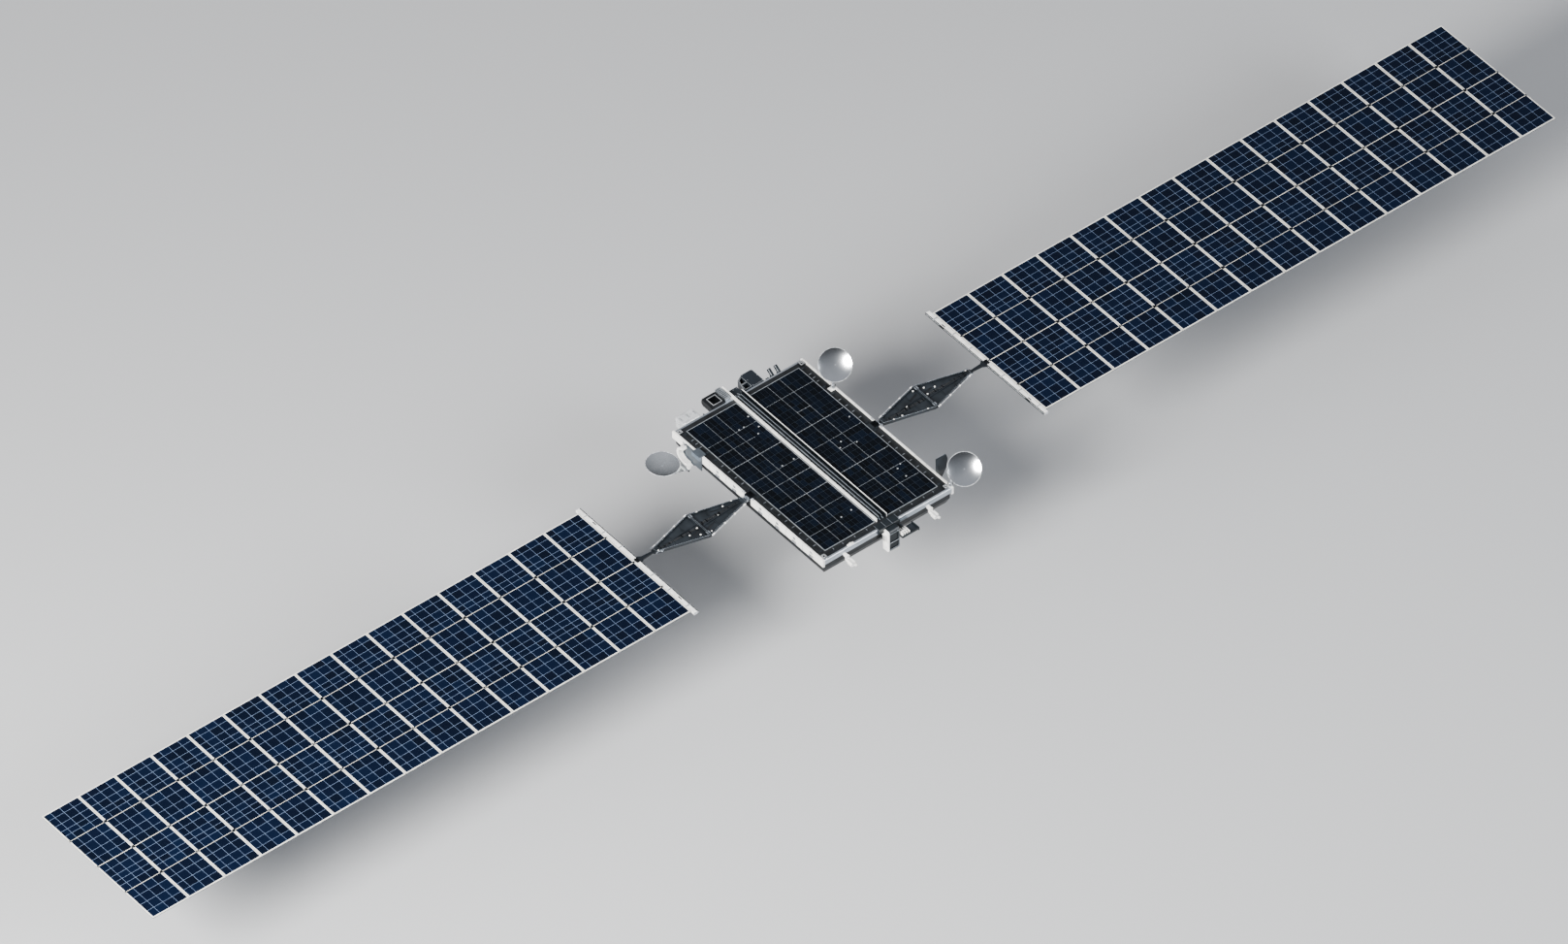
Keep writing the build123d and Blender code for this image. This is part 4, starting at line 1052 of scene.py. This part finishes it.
def makeConnectors():
    # connector shells at both ends of every run, with their backshell nuts
    shells = []
    low, high = edge["deck"], edge["deck"] + edge["shellHeight"]
    nutTop = edge["deck"] + edge["nutHeight"]
    for sign, start, end in marginRuns:
        x0, x1 = [sign * x for x in edge["shellX"]]
        for y, way in ((start, -1), (end, 1)):
            shells.append(startBlock("shell", (x0, y, low), (x1, y + way * edge["shellLength"], high)))
            for x in [sign * x for x in edge["nutX"]]:
                shells.append(startPin("shell", x, y + way * edge["nutShift"], high, nutTop, 0.005, 12))
    return joinPieces("connectorShells", shells, 0.0025)


corner = {
    "x": 1.2867, "y": 1.8817, "outer": 0.040, "inner": 0.027, "low": 0.048, "high": 0.0555,
    "ringHeight": 0.0492, "ringRadius": 0.0192, "ringWire": 0.0028,
}


def makeCornerFittings():
    # square collar and sleeve round every stacking hole
    collars = []
    a, b = corner["outer"], corner["inner"]
    middle, half = (a + b) / 2, (a - b) / 2
    for cx, cy in [(x, y) for x in (-corner["x"], corner["x"]) for y in (-corner["y"], corner["y"])]:
        for dx, dy, halfX, halfY in (
            (0, -middle, a, half), (0, middle, a, half), (-middle, 0, half, b), (middle, 0, half, b),
        ):
            collars.append(startPad("collar", cx + dx, cy + dy, halfX, halfY, corner["low"], corner["high"]))
        ringCentre = (cx, cy, corner["ringHeight"])
        collars.append(startRing("collar", ringCentre, corner["ringRadius"], corner["ringWire"]))
    return joinPieces("cornerCollars", collars, 0.0012)


def makeRailBolts():
    # a gap is left at the side bracket, and two along the front rail
    spots = []
    for sign in (-1, 1):
        for y in spread(-1.93, -0.12, 15) + spread(0.12, 1.93, 15):
            if sign > 0 or not 1.15 < y < 1.41:
                spots.append((sign * 1.355, y, edge["rail"]))
    for x in spread(-1.28, 1.28, 21):
        if not -0.26 < x < 0.25 and not -0.86 < x < -0.69:
            spots.append((x, -1.95, edge["rail"]))
    return boltRow("railBolts", spots, 0.0055, 0.004)


railPlan = {
    "plates": (-1.66, -1.22, -0.78, -0.34, 0.34, 0.78, 1.66),
    "brackets": (-0.118, 0.118), "bracketX": (1.338, 1.372),
    "sideSeams": (-1.44, -1.0, -0.56, 0.56, 1.0, 1.53), "frontSeams": (-1.06, -0.52, 0.52, 1.06),
    "seam": 0.0022, "proud": 0.0006,
}


def makeRailPlates():
    # splice plates on the outer faces, and angle brackets beside the array drives
    plates = []
    rail, wall = edge["rail"], edge["wall"]
    for sign in (-1, 1):
        for y in railPlan["plates"]:
            for half, low, high in ((0.055, -0.092, -0.040), (0.030, -0.016, 0.040)):
                far = (sign * (wall + edge["plate"]), y + half, high)
                plates.append(startBlock("plate", (sign * wall, y - half, low), far))
        x0, x1 = [sign * x for x in railPlan["bracketX"]]
        for y in railPlan["brackets"]:
            for half, height in ((0.030, 0.006), (0.004, 0.022)):
                plates.append(startBlock("plate", (x0, y - half, rail), (x1, y + half, rail + height)))
    return joinPieces("railPlates", plates, 0.0012)


def makeRailSeams():
    # dark butt joints across the rails
    seams = []
    half, low, high = railPlan["seam"], edge["rail"] - 0.001, edge["rail"] + railPlan["proud"]
    wall = edge["wall"]
    for sign in (-1, 1):
        for y in railPlan["sideSeams"]:
            for x0, x1, z0, z1 in (
                (1.3352, wall - 0.004, low, high), (wall - 0.001, wall + railPlan["proud"], -0.094, -0.037),
                (wall - 0.001, wall + railPlan["proud"], -0.019, 0.043),
            ):
                seams.append(startBlock("seam", (sign * x0, y - half, z0), (sign * x1, y + half, z1)))
    for x in railPlan["frontSeams"]:
        seams.append(startBlock("seam", (x - half, -1.966, low), (x + half, -1.932, high)))
    return joinPieces("railSeams", seams, 0.0003, 1)


def finishOnBus(*rows):
    for piece, slotName, material in rows:
        finishPiece(piece, "bus", material)


finishOnBus(
    (makeHarness(), "dark_cover", blackFoil),
    (makeHarnessClips(), "white_fitting", satinAluminium),
    (makeConnectors(), "equipment_case", carbonSheet),
    (makeCornerFittings(), "white_fitting", machinedAluminium),
    (makeRailBolts(), "satin_rail", machinedAluminium),
    (makeRailPlates(), "satin_rail", machinedAluminium),
    (makeRailSeams(), "dark_cover", blackenedSteel),
)
print("margins ready")


# spine: cables on the ties, clamps and rail screws

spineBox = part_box("spine_rails")
spine = {
    "front": -1.70, "rear": 1.90, "tieTop": 0.0523, "top": spineBox[1][2], "lane": 0.061, "core": 0.0085,
    "middleLanes": (-0.012, 0.0, 0.012), "middleHeight": 0.0575, "screwLine": 0.102, "clampFoot": 0.0385,
}


def makeSpineCables():
    # on each side a thick core with a thin one beside it, and three between the inner rails
    cables = []
    front, rear = spine["front"], spine["rear"]
    z = spine["tieTop"] + spine["core"]
    for sign in (-1, 1):
        x = sign * spine["lane"]
        cables.append(startRod("core", (x, front, z), (x, rear, z), spine["core"], 14))
        x, low = x - 0.0115, z - 0.003
        cables.append(startRod("core", (x, front + 0.08, low), (x, rear - 0.1, low), 0.004, 10))
    z = spine["middleHeight"]
    for x in spine["middleLanes"]:
        cables.append(startRod("core", (x, front, z), (x, rear, z), 0.005, 10))
    return joinPieces("spineCables", cables)


def makeSpineClamps():
    clamps = []
    low = spine["clampFoot"]
    for y in spread(-1.58, 1.78, 15):
        for sign in (-1, 1):
            clamps.append(startPad("clamp", sign * spine["lane"] - 0.0035, y, 0.0175, 0.009, low, 0.0745))
        clamps.append(startPad("clamp", 0, y, 0.0222, 0.006, low, 0.066))
    return joinPieces("spineClamps", clamps, 0.003)


def makeSpineScrews():
    lines = (-spine["screwLine"], spine["screwLine"])
    spots = [(x, y, spine["top"]) for x in lines for y in spread(-1.76, 1.95, 23)]
    return boltRow("spineScrews", spots, 0.004, 0.003)


finishOnBus(
    (makeSpineCables(), "dark_cover", carbonSheet),
    (makeSpineClamps(), "white_fitting", blackenedSteel),
    (makeSpineScrews(), "bright_rail", machinedAluminium),
)
print("spine ready")


# bus sides and underside

hull = {
    "x": 1.3192, "y": 1.9257, "top": -0.104, "keel": -0.205, "tape": 0.0012,
    "bays": (-1.35, -0.70, 0.70, 1.35), "slats": (-0.188, -0.123, 6), "posts": (-0.246, 0, 0.246),
    "seams": (-1.12, -0.86, -0.60, -0.34, 0.46, 0.62, 0.98, 1.18),
    "patch": 0.066, "patchPitch": 0.094, "patchMargin": 0.12, "patchThickness": 0.0012,
}


def makeLouvres():
    # slats and posts in the radiator bays of both long sides
    slats = []
    for sign in (-1, 1):
        inner = sign * hull["x"]
        for bay in hull["bays"]:
            for z in spread(*hull["slats"]):
                far = (sign * 1.3262, bay + 0.242, z + 0.0035)
                slats.append(startBlock("slat", (inner, bay - 0.242, z - 0.0035), far))
            for y in [bay + shift for shift in hull["posts"]]:
                far = (sign * 1.3286, y + 0.004, -0.115)
                slats.append(startBlock("slat", (inner, y - 0.004, -0.196), far))
    return joinPieces("louvreSlats", slats, 0.0012, 1)


def makeFoilSeams():
    # lapped tape seams of the foil on the front and rear walls
    seams = []
    for sign in (-1, 1):
        y0, y1 = sign * hull["y"], sign * (hull["y"] + hull["tape"])
        for x in hull["seams"]:
            seams.append(startBlock("seam", (x - 0.013, y0, hull["keel"]), (x + 0.013, y1, hull["top"])))
        seams.append(startBlock("seam", (-1.31, y0, hull["keel"]), (1.31, y1, -0.190)))
    return joinPieces("foilSeams", seams, 0.0005, 1)


def makePatches():
    # square radiating patches on the earth-facing tiles
    low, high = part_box("nadir_tiles")
    pitch, half = hull["patchPitch"], hull["patch"] / 2
    counts = [int((high[axis] - low[axis] - hull["patchMargin"]) / pitch) for axis in (0, 1)]
    patches = startPad("nadirPatches", 0, 0, half, half, low[2] - hull["patchThickness"], low[2])
    softenEdges(patches, 0.0005, 1)
    patches.data.transform(Matrix.Translation([-(count - 1) * pitch / 2 for count in counts] + [0]))
    for count, step in zip(counts, ((pitch, 0, 0), (0, pitch, 0))):
        applyModifier(
            patches, "ARRAY", count=count, use_relative_offset=False, use_constant_offset=True,
            constant_offset_displace=step,
        )
    return patches


finishOnBus(
    (makeLouvres(), "satin_rail", satinAluminium),
    (makeFoilSeams(), "dark_cover", carbonSheet),
    (makePatches(), "antenna_face", tinnedTrack),
)
print("body ready")


# array drives

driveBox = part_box("drive_housings")


def makeDriveCover():
    # ribbed lid with four screws
    end, top = driveBox[1][0], driveBox[1][2]
    plate = top + 0.004
    parts = [startBlock("lid", (end - 0.118, -0.066, top), (end - 0.012, 0.066, plate))]
    for y in spread(-0.048, 0.048, 7):
        parts.append(startPad("lid", end - 0.069, y, 0.039, 0.0035, plate, top + 0.012))
    for x in (end - 0.112, end - 0.019):
        for y in (-0.060, 0.060):
            parts.append(startBolt("lid", (x, y, plate), (0, 0, 1), 0.0035, 0.003))
    return joinPieces("driveLid", parts, 0.0015)


finishBothSides(makeDriveCover(), "DriveLid", "bus", blackenedSteel)
print("drives ready")


# side bracket: grey casing round the block under the cap

bracket = {"x": (-1.4353, -1.392), "y": (1.180, 1.380), "z": (-0.0095, 0.049), "top": 0.0715, "sheet": 0.0016}


def makeBracketCase():
    (x0, x1), (y0, y1), (z0, z1) = bracket["x"], bracket["y"], bracket["z"]
    top, t = bracket["top"], bracket["sheet"]
    parts = [
        startBlock("case", (x0 - t, y0 - t, z0), (x0, y1 + t, top)),
        startBlock("case", (x0, y0 - t, z0), (x1, y0, top)),
        startBlock("case", (x0, y1, z0), (x1, y1 + t, z1)),
    ]
    for y in spread(y0 + 0.02, y1 - 0.02, 4):
        for z in (z0 + 0.010, 0.060):
            parts.append(startBolt("case", (x0 - t, y, z), (-1, 0, 0), 0.004, 0.003))
    return joinPieces("bracketCase", parts, 0.0005, 1)


finishOnBus((makeBracketCase(), "equipment_case", equipmentEnamel))


# dishes

dish = {
    "radius": 0.285, "depth": 0.046, "skin": 0.007, "ribs": 10, "rings": 14, "hoop": 0.178,
    "ribStart": 0.066, "ribEnd": 0.272, "beadRadius": 0.286,
    "knee": (0.036, -0.021), "armWidth": 0.024, "armDepth": 0.012,
    "eye": 0.017, "eyeBore": 0.0078, "eyeHalf": 0.013, "padShares": (0.22, 0.42, 0.62), "pad": 0.0045,
    "hub": 0.060, "hubDepth": 0.027, "hubCap": 0.052, "hubScrews": 0.043, "hubScrewCount": 8,
    "plan": {
        # pivot, azimuth, elevation, neck past the rim, lean, side of the fork
        "a": ((1.319, 1.105, 0.104), 231.2, 44.2, 0.052, 6.9, -1),
        "b": ((1.350, -1.912, 0.104), 231.2, 44.2, 0.044, 45.0, -1),
        "c": ((-1.482, 1.395, -0.330), 306.8, 86.0, 0.167, 0.0, 1),
    },
}
bowlSphere = (dish["radius"] ** 2 + dish["depth"] ** 2) / (2 * dish["depth"])
hubTop = -dish["depth"] - dish["skin"] / 2


def onCircle(radius, angle, z):
    return (radius * math.cos(angle), radius * math.sin(angle), z)


def bowlBack(radius):
    return bowlSphere - dish["depth"] - math.sqrt(bowlSphere ** 2 - radius ** 2) - dish["skin"]


def bowlFront(radius):
    return bowlBack(radius) + dish["skin"]


def bowlCentre(neck, lean):
    # from the tilt pin to the middle of the bowl, in the plane of its rim
    reach, angle = dish["radius"] + neck, math.radians(lean)
    return Vector((reach * math.sin(angle), reach * math.cos(angle), 0))


def pinMatrix(pivot, azimuth, elevation):
    # frame on the tilt pin whose Z looks along the bore of the dish
    a, e = math.radians(azimuth), math.radians(elevation)
    bore = Vector((math.cos(a) * math.cos(e), math.sin(a) * math.cos(e), math.sin(e)))
    tilt = Vector((-math.sin(a), math.cos(a), 0))
    turn = Matrix((tilt, bore.cross(tilt), bore)).transposed().to_4x4()
    return Matrix.Translation(pivot) @ turn


def makeDishRibs():
    # radial ribs and a stiffening hoop on the convex side
    start, end = dish["ribStart"], dish["ribEnd"]
    rib = startBlock("rib", (start, -0.0035, -0.006), (end, 0.0035, 0.001))
    bpy.ops.object.mode_set(mode="EDIT")
    for x in spread(0.09, 0.25, 8):
        bpy.ops.mesh.select_all(action="SELECT")
        bpy.ops.mesh.bisect(plane_co=(x, 0, 0), plane_no=(1, 0, 0))
    bpy.ops.object.mode_set(mode="OBJECT")
    for vertex in rib.data.vertices:
        taper = 1.0 - 0.6 * (vertex.co.x - start) / (end - start)
        vertex.co.z = bowlBack(vertex.co.x) + vertex.co.z * (taper if vertex.co.z < 0 else 1.0)
    turns = [Matrix.Rotation(math.tau * i / dish["ribs"], 4, "Z") for i in range(dish["ribs"])]
    parts = [copyOf(rib, "rib", turn) for turn in turns]
    bpy.data.objects.remove(rib)
    parts.append(startRing("hoop", (0, 0, bowlBack(dish["hoop"]) - 0.001), dish["hoop"], 0.0045, sides=72))
    return joinPieces("dishRibs", parts, 0.0008, 1)


def makeBowl():
    # a disc inset ring by ring, each ring lowered onto the sphere, then given its skin
    clearSelection()
    bpy.ops.mesh.primitive_circle_add(vertices=96, radius=dish["radius"], fill_type="NGON")
    bowl = nameNew("bowl")
    bpy.ops.object.mode_set(mode="EDIT")
    bpy.ops.mesh.select_mode(type="FACE")
    bpy.ops.mesh.select_all(action="SELECT")
    for step in range(dish["rings"]):
        bpy.ops.mesh.inset(thickness=dish["radius"] / (dish["rings"] + 0.5))
    bpy.ops.object.mode_set(mode="OBJECT")
    for vertex in bowl.data.vertices:
        vertex.co.z = bowlFront(min(dish["radius"], math.hypot(vertex.co.x, vertex.co.y)))
    applyModifier(bowl, "SOLIDIFY", thickness=dish["skin"], offset=-1.0)
    return bowl


def makeDishArm(neck, lean):
    # eye on the pin, a short drop under the rim, then a widening arm to the hub
    size = (dish["armWidth"], dish["armDepth"])
    centre = bowlCentre(neck, lean)
    knee = Vector((0, *dish["knee"]))
    hub = centre + Vector((0, 0, hubTop - 0.021))
    heading = (hub - knee).normalized()
    half = dish["eyeHalf"]
    eye = startTube("arm", (-half, 0, 0), (half, 0, 0), dish["eye"], dish["eyeBore"])
    drop = startBeam("arm", (0, 0.0135, -0.005), knee + Vector((0, 0.004, -0.002)), *size)
    web = startBeam("arm", knee - heading * 0.006, hub, *size)
    across = Vector((heading.y, -heading.x, 0)).normalized()
    for vertex in web.data.vertices:
        share = max(0.0, (vertex.co - knee).dot(heading) / (hub - knee).length)
        vertex.co += across * (vertex.co - knee).dot(across) * (2.25 * share - 0.35)
    parts = [eye, drop, web]
    for share in dish["padShares"]:
        spot = knee.lerp(hub, share) + Vector((0, 0, -0.0055))
        parts.append(startRod("arm", spot, spot + Vector((0, 0, -0.004)), dish["pad"], 12))
    # hub drum under the middle of the bowl
    parts.append(startPin("arm", centre.x, centre.y, hubTop - dish["hubDepth"], hubTop, dish["hub"], 56))
    return joinPieces("dishArm", parts, 0.0015)


def makeNeckLip(neck):
    # flat neck that flares from the eye to the rim, closing the teardrop of the long-necked dish
    radius = dish["radius"] + 0.003
    clearSelection()
    bpy.ops.mesh.primitive_grid_add(x_subdivisions=16, y_subdivisions=4, size=2)
    lip = nameNew("neckLip")
    for vertex in lip.data.vertices:
        across, along = vertex.co.x, (vertex.co.y + 1) / 2
        angle = across * math.radians(50)
        rimY = dish["radius"] + neck - radius * math.cos(angle)
        vertex.co.x = 0.011 * across * (1 - along) + radius * math.sin(angle) * along
        vertex.co.y = 0.030 * (1 - along) + rimY * along
        vertex.co.z = 0.0
    applyModifier(lip, "SOLIDIFY", thickness=dish["skin"], offset=-1.0)
    softenEdges(lip, 0.0015)
    return lip


def makeRimBead():
    # rolled rim with a fine bead on its crown
    roll = startRing("rimBead", (0, 0, -dish["skin"] / 2), dish["beadRadius"], 0.007, sides=96)
    bead = startRing("rimBead", (0, 0, 0.0022), dish["beadRadius"], 0.0026, sides=96)
    return joinPieces("rimBead", [roll, bead])


def makeHubCap():
    # bolted plate over the hub, behind the bowl
    z = hubTop - dish["hubDepth"]
    parts = [startPin("cap", 0, 0, z - 0.004, z, dish["hubCap"], 40)]
    for i in range(dish["hubScrewCount"]):
        spot = onCircle(dish["hubScrews"], math.tau * i / dish["hubScrewCount"] + 0.2, z - 0.004)
        parts.append(startBolt("cap", spot, (0, 0, -1), 0.0032, 0.0035))
    return joinPieces("hubCap", parts, 0.001, 1)


def makeBowlButton():
    # small flush button and four rivets at the bottom of the bowl
    z = -dish["depth"]
    parts = [startPin("button", 0, 0, z - 0.002, z + 0.0022, 0.007, 24)]
    for i in range(4):
        x, y, low = onCircle(0.024, math.radians(45 + 90 * i), z - 0.002)
        parts.append(startPin("button", x, y, low, z + 0.0016, 0.0026, 12))
    return joinPieces("bowlButton", parts, 0.001, 1)


def makePanMotor(hang):
    # flange screws of a turntable and the stepped caps of its fork pins, about the pivot
    parts = []
    for i in range(6):
        x, y, base = onCircle(0.031, math.radians(60 * i), 0.0385 * hang)
        parts.append(startPin("motor", x, y, base - 0.0022 * hang, base, 0.0032, 10))
    for sign in (-1, 1):
        near, middle, far = [(sign * x, 0, 0) for x in (0.0295, 0.0425, 0.046)]
        parts.append(startRod("motor", near, middle, 0.0125, 24))
        parts.append(startRod("motor", middle, far, 0.008, 24))
    return joinPieces("panMotor", parts, 0.0008, 1)


def placeOnce(piece, name, matrix):
    piece.data.transform(matrix)
    piece.name = name
    return piece


dishBowl = makeBowl()
dishSet = (
    (makeRimBead(), "rimBead_", machinedAluminium), (makeDishRibs(), "backRibs_", satinAluminium),
    (makeHubCap(), "hubCap_", satinAluminium), (makeBowlButton(), "bowlButton_", satinAluminium),
)
for letter, (pivot, azimuth, elevation, neck, lean, hang) in dish["plan"].items():
    pin = pinMatrix(pivot, azimuth, elevation)
    middle = pin @ Matrix.Translation(bowlCentre(neck, lean))
    owner = "dish_" + letter
    # dish c takes the silver painted brighter, a painted highlight
    skin = paintedHighlightReflector if letter == "c" else reflectorSkin
    bowl = finishPiece(copyOf(dishBowl, "bowl_" + letter, middle), owner, skin)
    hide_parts("reflector_" + letter)
    arm = placeOnce(makeDishArm(neck, lean), "dishArm_" + letter, pin)
    finishPiece(arm, owner, satinAluminium)
    if neck > dish["radius"] / 2:
        finishPiece(placeOnce(makeNeckLip(neck), "neckLip", pin), owner, skin)
    for first, label, material in dishSet:
        finishPiece(copyOf(first, label + letter, middle), owner, material)
    level = Matrix.Translation(pivot) @ Matrix.Rotation(math.radians(azimuth + 90), 4, "Z")
    motor = placeOnce(makePanMotor(hang), "panMotor_" + letter, level)
    finishPiece(motor, "gimbal_" + letter, blackenedSteel)
for spare in [dishBowl] + [row[0] for row in dishSet]:
    bpy.data.objects.remove(spare)
print("dishes ready")


# rear row

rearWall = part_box("rear_equipment")[0][1]


def rearBlock(name, low, high):
    # block whose Y is counted from the front of the rear row
    return startBlock(name, (low[0], rearWall + low[1], low[2]), (high[0], rearWall + high[1], high[2]))


def makeCaseTrim():
    # seam band and lifting pads of the white case
    parts = [rearBlock("band", (-1.1315, 0.001, -0.052), (-0.7685, 0.2365, -0.040))]
    for x in (-1.09, -0.95, -0.81):
        parts.append(rearBlock("pad", (x - 0.016, 0.075, 0.0435), (x + 0.016, 0.165, 0.0475)))
    return joinPieces("caseTrim", parts, 0.0015)


hoodMouth = {"x": (-0.462, -0.300), "y": (0.050, 0.220), "z": (0.0515, 0.0575), "width": 0.013}


def makeHoodLip():
    # silver frame round the square mouth of the hood
    (x0, x1), (y0, y1), (z0, z1), width = hoodMouth.values()
    strips = [
        rearBlock("lip", (x0 - width, y0 - width, z0), (x1 + width, y0, z1)),
        rearBlock("lip", (x0 - width, y1, z0), (x1 + width, y1 + width, z1)),
        rearBlock("lip", (x0 - width, y0, z0), (x0, y1, z1)),
        rearBlock("lip", (x1, y0, z0), (x1 + width, y1, z1)),
    ]
    return joinPieces("hoodLip", strips, 0.002)


def makeMouthLining():
    lining = rearBlock("mouthLining", (-0.4615, 0.0505, -0.0398), (-0.3005, 0.2195, -0.034))
    softenEdges(lining, 0.002)
    return lining


unitFrame = {
    "height": 0.0415,
    # corners of each line of thin bars, X and distance from the front of the row
    "lines": (
        ((0.183, 0.016), (0.311, 0.016), (0.311, 0.132), (0.196, 0.132), (0.183, 0.016)),
        ((0.204, 0.148), (0.311, 0.148), (0.311, 0.287), (0.233, 0.248), (0.204, 0.148)),
        ((0.154, 0.003), (0.217, 0.258), (0.327, 0.317)),
    ),
    # X, distances and height of two groups of screws: enamel box and bare plate
    "screws": (
        ((0.345, 0.545), (0.018, 0.165, 0.312), 0.046), ((-0.05, 0.024, 0.098), (0.03, 0.145), 0.028),
    ),
}


def makeUnitDetail():
    # sockets of the enamel box, bars of the open frame beside it, screws of the box and the plate
    parts = []
    for y in spread(rearWall + 0.05, rearWall + 0.28, 4):
        parts.append(startRod("socket", (0.56, y, -0.03), (0.574, y, -0.03), 0.014, 20))
        parts.append(startRod("socket", (0.56, y, -0.08), (0.572, y, -0.08), 0.011, 20))
    for line in unitFrame["lines"]:
        spots = [(x, rearWall + y, unitFrame["height"]) for x, y in line]
        for start, end in zip(spots, spots[1:]):
            parts.append(startBeam("edge", start, end, 0.005, 0.003))
    for columns, rows, z in unitFrame["screws"]:
        for x in columns:
            for y in rows:
                parts.append(startBolt("screw", (x, rearWall + y, z), (0, 0, 1), 0.005, 0.004))
    return joinPieces("unitDetail", parts, 0.0012)


def makeTrackerRims():
    rims = []
    for x in (0.760, 0.900):
        start, end = Vector((x, rearWall + 0.03, 0)), Vector((x, rearWall + 0.13, 0.07))
        turn = (end - start).to_track_quat("Z", "Y").to_matrix().to_4x4()
        rims.append(startRing("rim", end, 0.0305, 0.0042, turn))
        rims.append(startRing("rim", start.lerp(end, 0.62), 0.0345, 0.003, turn))
    return joinPieces("trackerRims", rims)


def makeRearLeads():
    # leads from the units down into the ports of the rear beam
    leads = []
    for x in (-0.700, -0.560, 0.620, 0.655):
        leads.append(startPin("lead", x, rearWall + 0.012, -0.055, 0.026, 0.007, 12))
        leads.append(rearBlock("lead", (x - 0.014, 0, -0.070), (x + 0.014, 0.026, -0.050)))
        leads.append(rearBlock("lead", (x - 0.012, 0, 0.010), (x + 0.012, 0.024, 0.022)))
    return joinPieces("rearLeads", leads, 0.0015)


finishOnBus(
    (makeCaseTrim(), "equipment_case", machinedAluminium),
    (makeHoodLip(), "satin_rail", machinedAluminium),
    (makeMouthLining(), "dark_cover", blackFoil),
    (makeUnitDetail(), "equipment_case", machinedAluminium),
    (makeTrackerRims(), "dark_cover", blackenedSteel),
    (makeRearLeads(), "dark_cover", carbonSheet),
)
print("rear row ready")


# front group

frontWall = railBox[0][1]


def frontBlock(name, low, high):
    # block whose Y is counted from the front rail
    return startBlock(name, (low[0], frontWall + low[1], low[2]), (high[0], frontWall + high[1], high[2]))


def makeShelfLattice():
    # white lattice that stands on the shelf, over the CAD uprights
    bars = []
    for x in [0.120 + i * 0.044 for i in range(4)]:
        bars.append(frontBlock("bar", (x - 0.0015, -0.2315, -0.1378), (x + 0.0155, -0.0885, -0.0825)))
    bars.append(frontBlock("bar", (0.118, -0.170, -0.099), (0.268, -0.148, -0.0815)))
    start, end = (0.125, frontWall - 0.212, -0.08), (0.262, frontWall - 0.108, -0.08)
    bars.append(startBeam("bar", start, end, 0.012, 0.006))
    return joinPieces("shelfLattice", bars, 0.0015)


def makeSaddleSeams():
    # raised laps between the sheets of the saddle and the post
    top, out, back = 0.0623, -0.1738, -0.172
    strips = [
        frontBlock("lap", (x - 0.003, -0.034, top), (x + 0.003, 0.117, top + 0.0018))
        for x in (-0.224, -0.075, 0.058, 0.208)
    ]
    strips += [
        frontBlock("lap", (-0.122, out, z - 0.004), (0.094, back, z + 0.004))
        for z in (-0.005, -0.205, -0.349)
    ]
    strips += [frontBlock("lap", (x - 0.003, out, -0.37), (x + 0.003, back, 0.028)) for x in (-0.111, 0.083)]
    return joinPieces("saddleLaps", strips, 0.0006, 1)


def makeLatchDetail():
    # clevis pins and lid bolts of the two release fittings
    parts = []
    for x in (-0.930, 0.822):
        parts.append(startAxle("nut", (x, frontWall - 0.185, -0.110), (0.046, 0, 0), 0.010, 18))
        parts.append(startAxle("nut", (x, frontWall - 0.080, -0.072), (0.040, 0, 0), 0.008, 18))
        for z in (-0.034, -0.066):
            parts.append(startBolt("nut", (x, frontWall - 0.100, z), (0, -1, 0), 0.006, 0.005))
    return joinPieces("latchPins", parts, 0.001, 1)


def makeFinTrim():
    # bright edge along the top and front edges of the dark shroud
    x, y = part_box("side_fin")[0][:2]
    strips = []
    for x0, z0, x1, z1, line, height in (
        (0.040, -0.058, 0.214, 0.249, 0.098, 0.004), (0.2145, 0.250, 0.2045, 0.329, 0.098, 0.004),
        (0.003, 0.3305, 0.204, 0.3305, 0.097, 0.003),
    ):
        strips.append(startBeam("edge", (x + x0, y + line, z0), (x + x1, y + line, z1), 0.004, height))
    return joinPieces("finTrim", strips, 0.0008, 1)


finishOnBus(
    (makeShelfLattice(), "white_fitting", whitePaint),
    (makeSaddleSeams(), "dark_cover", satinAluminium),
    (makeLatchDetail(), "white_fitting", machinedAluminium),
    (makeFinTrim(), "satin_rail", satinAluminium),
)
print("front group ready")
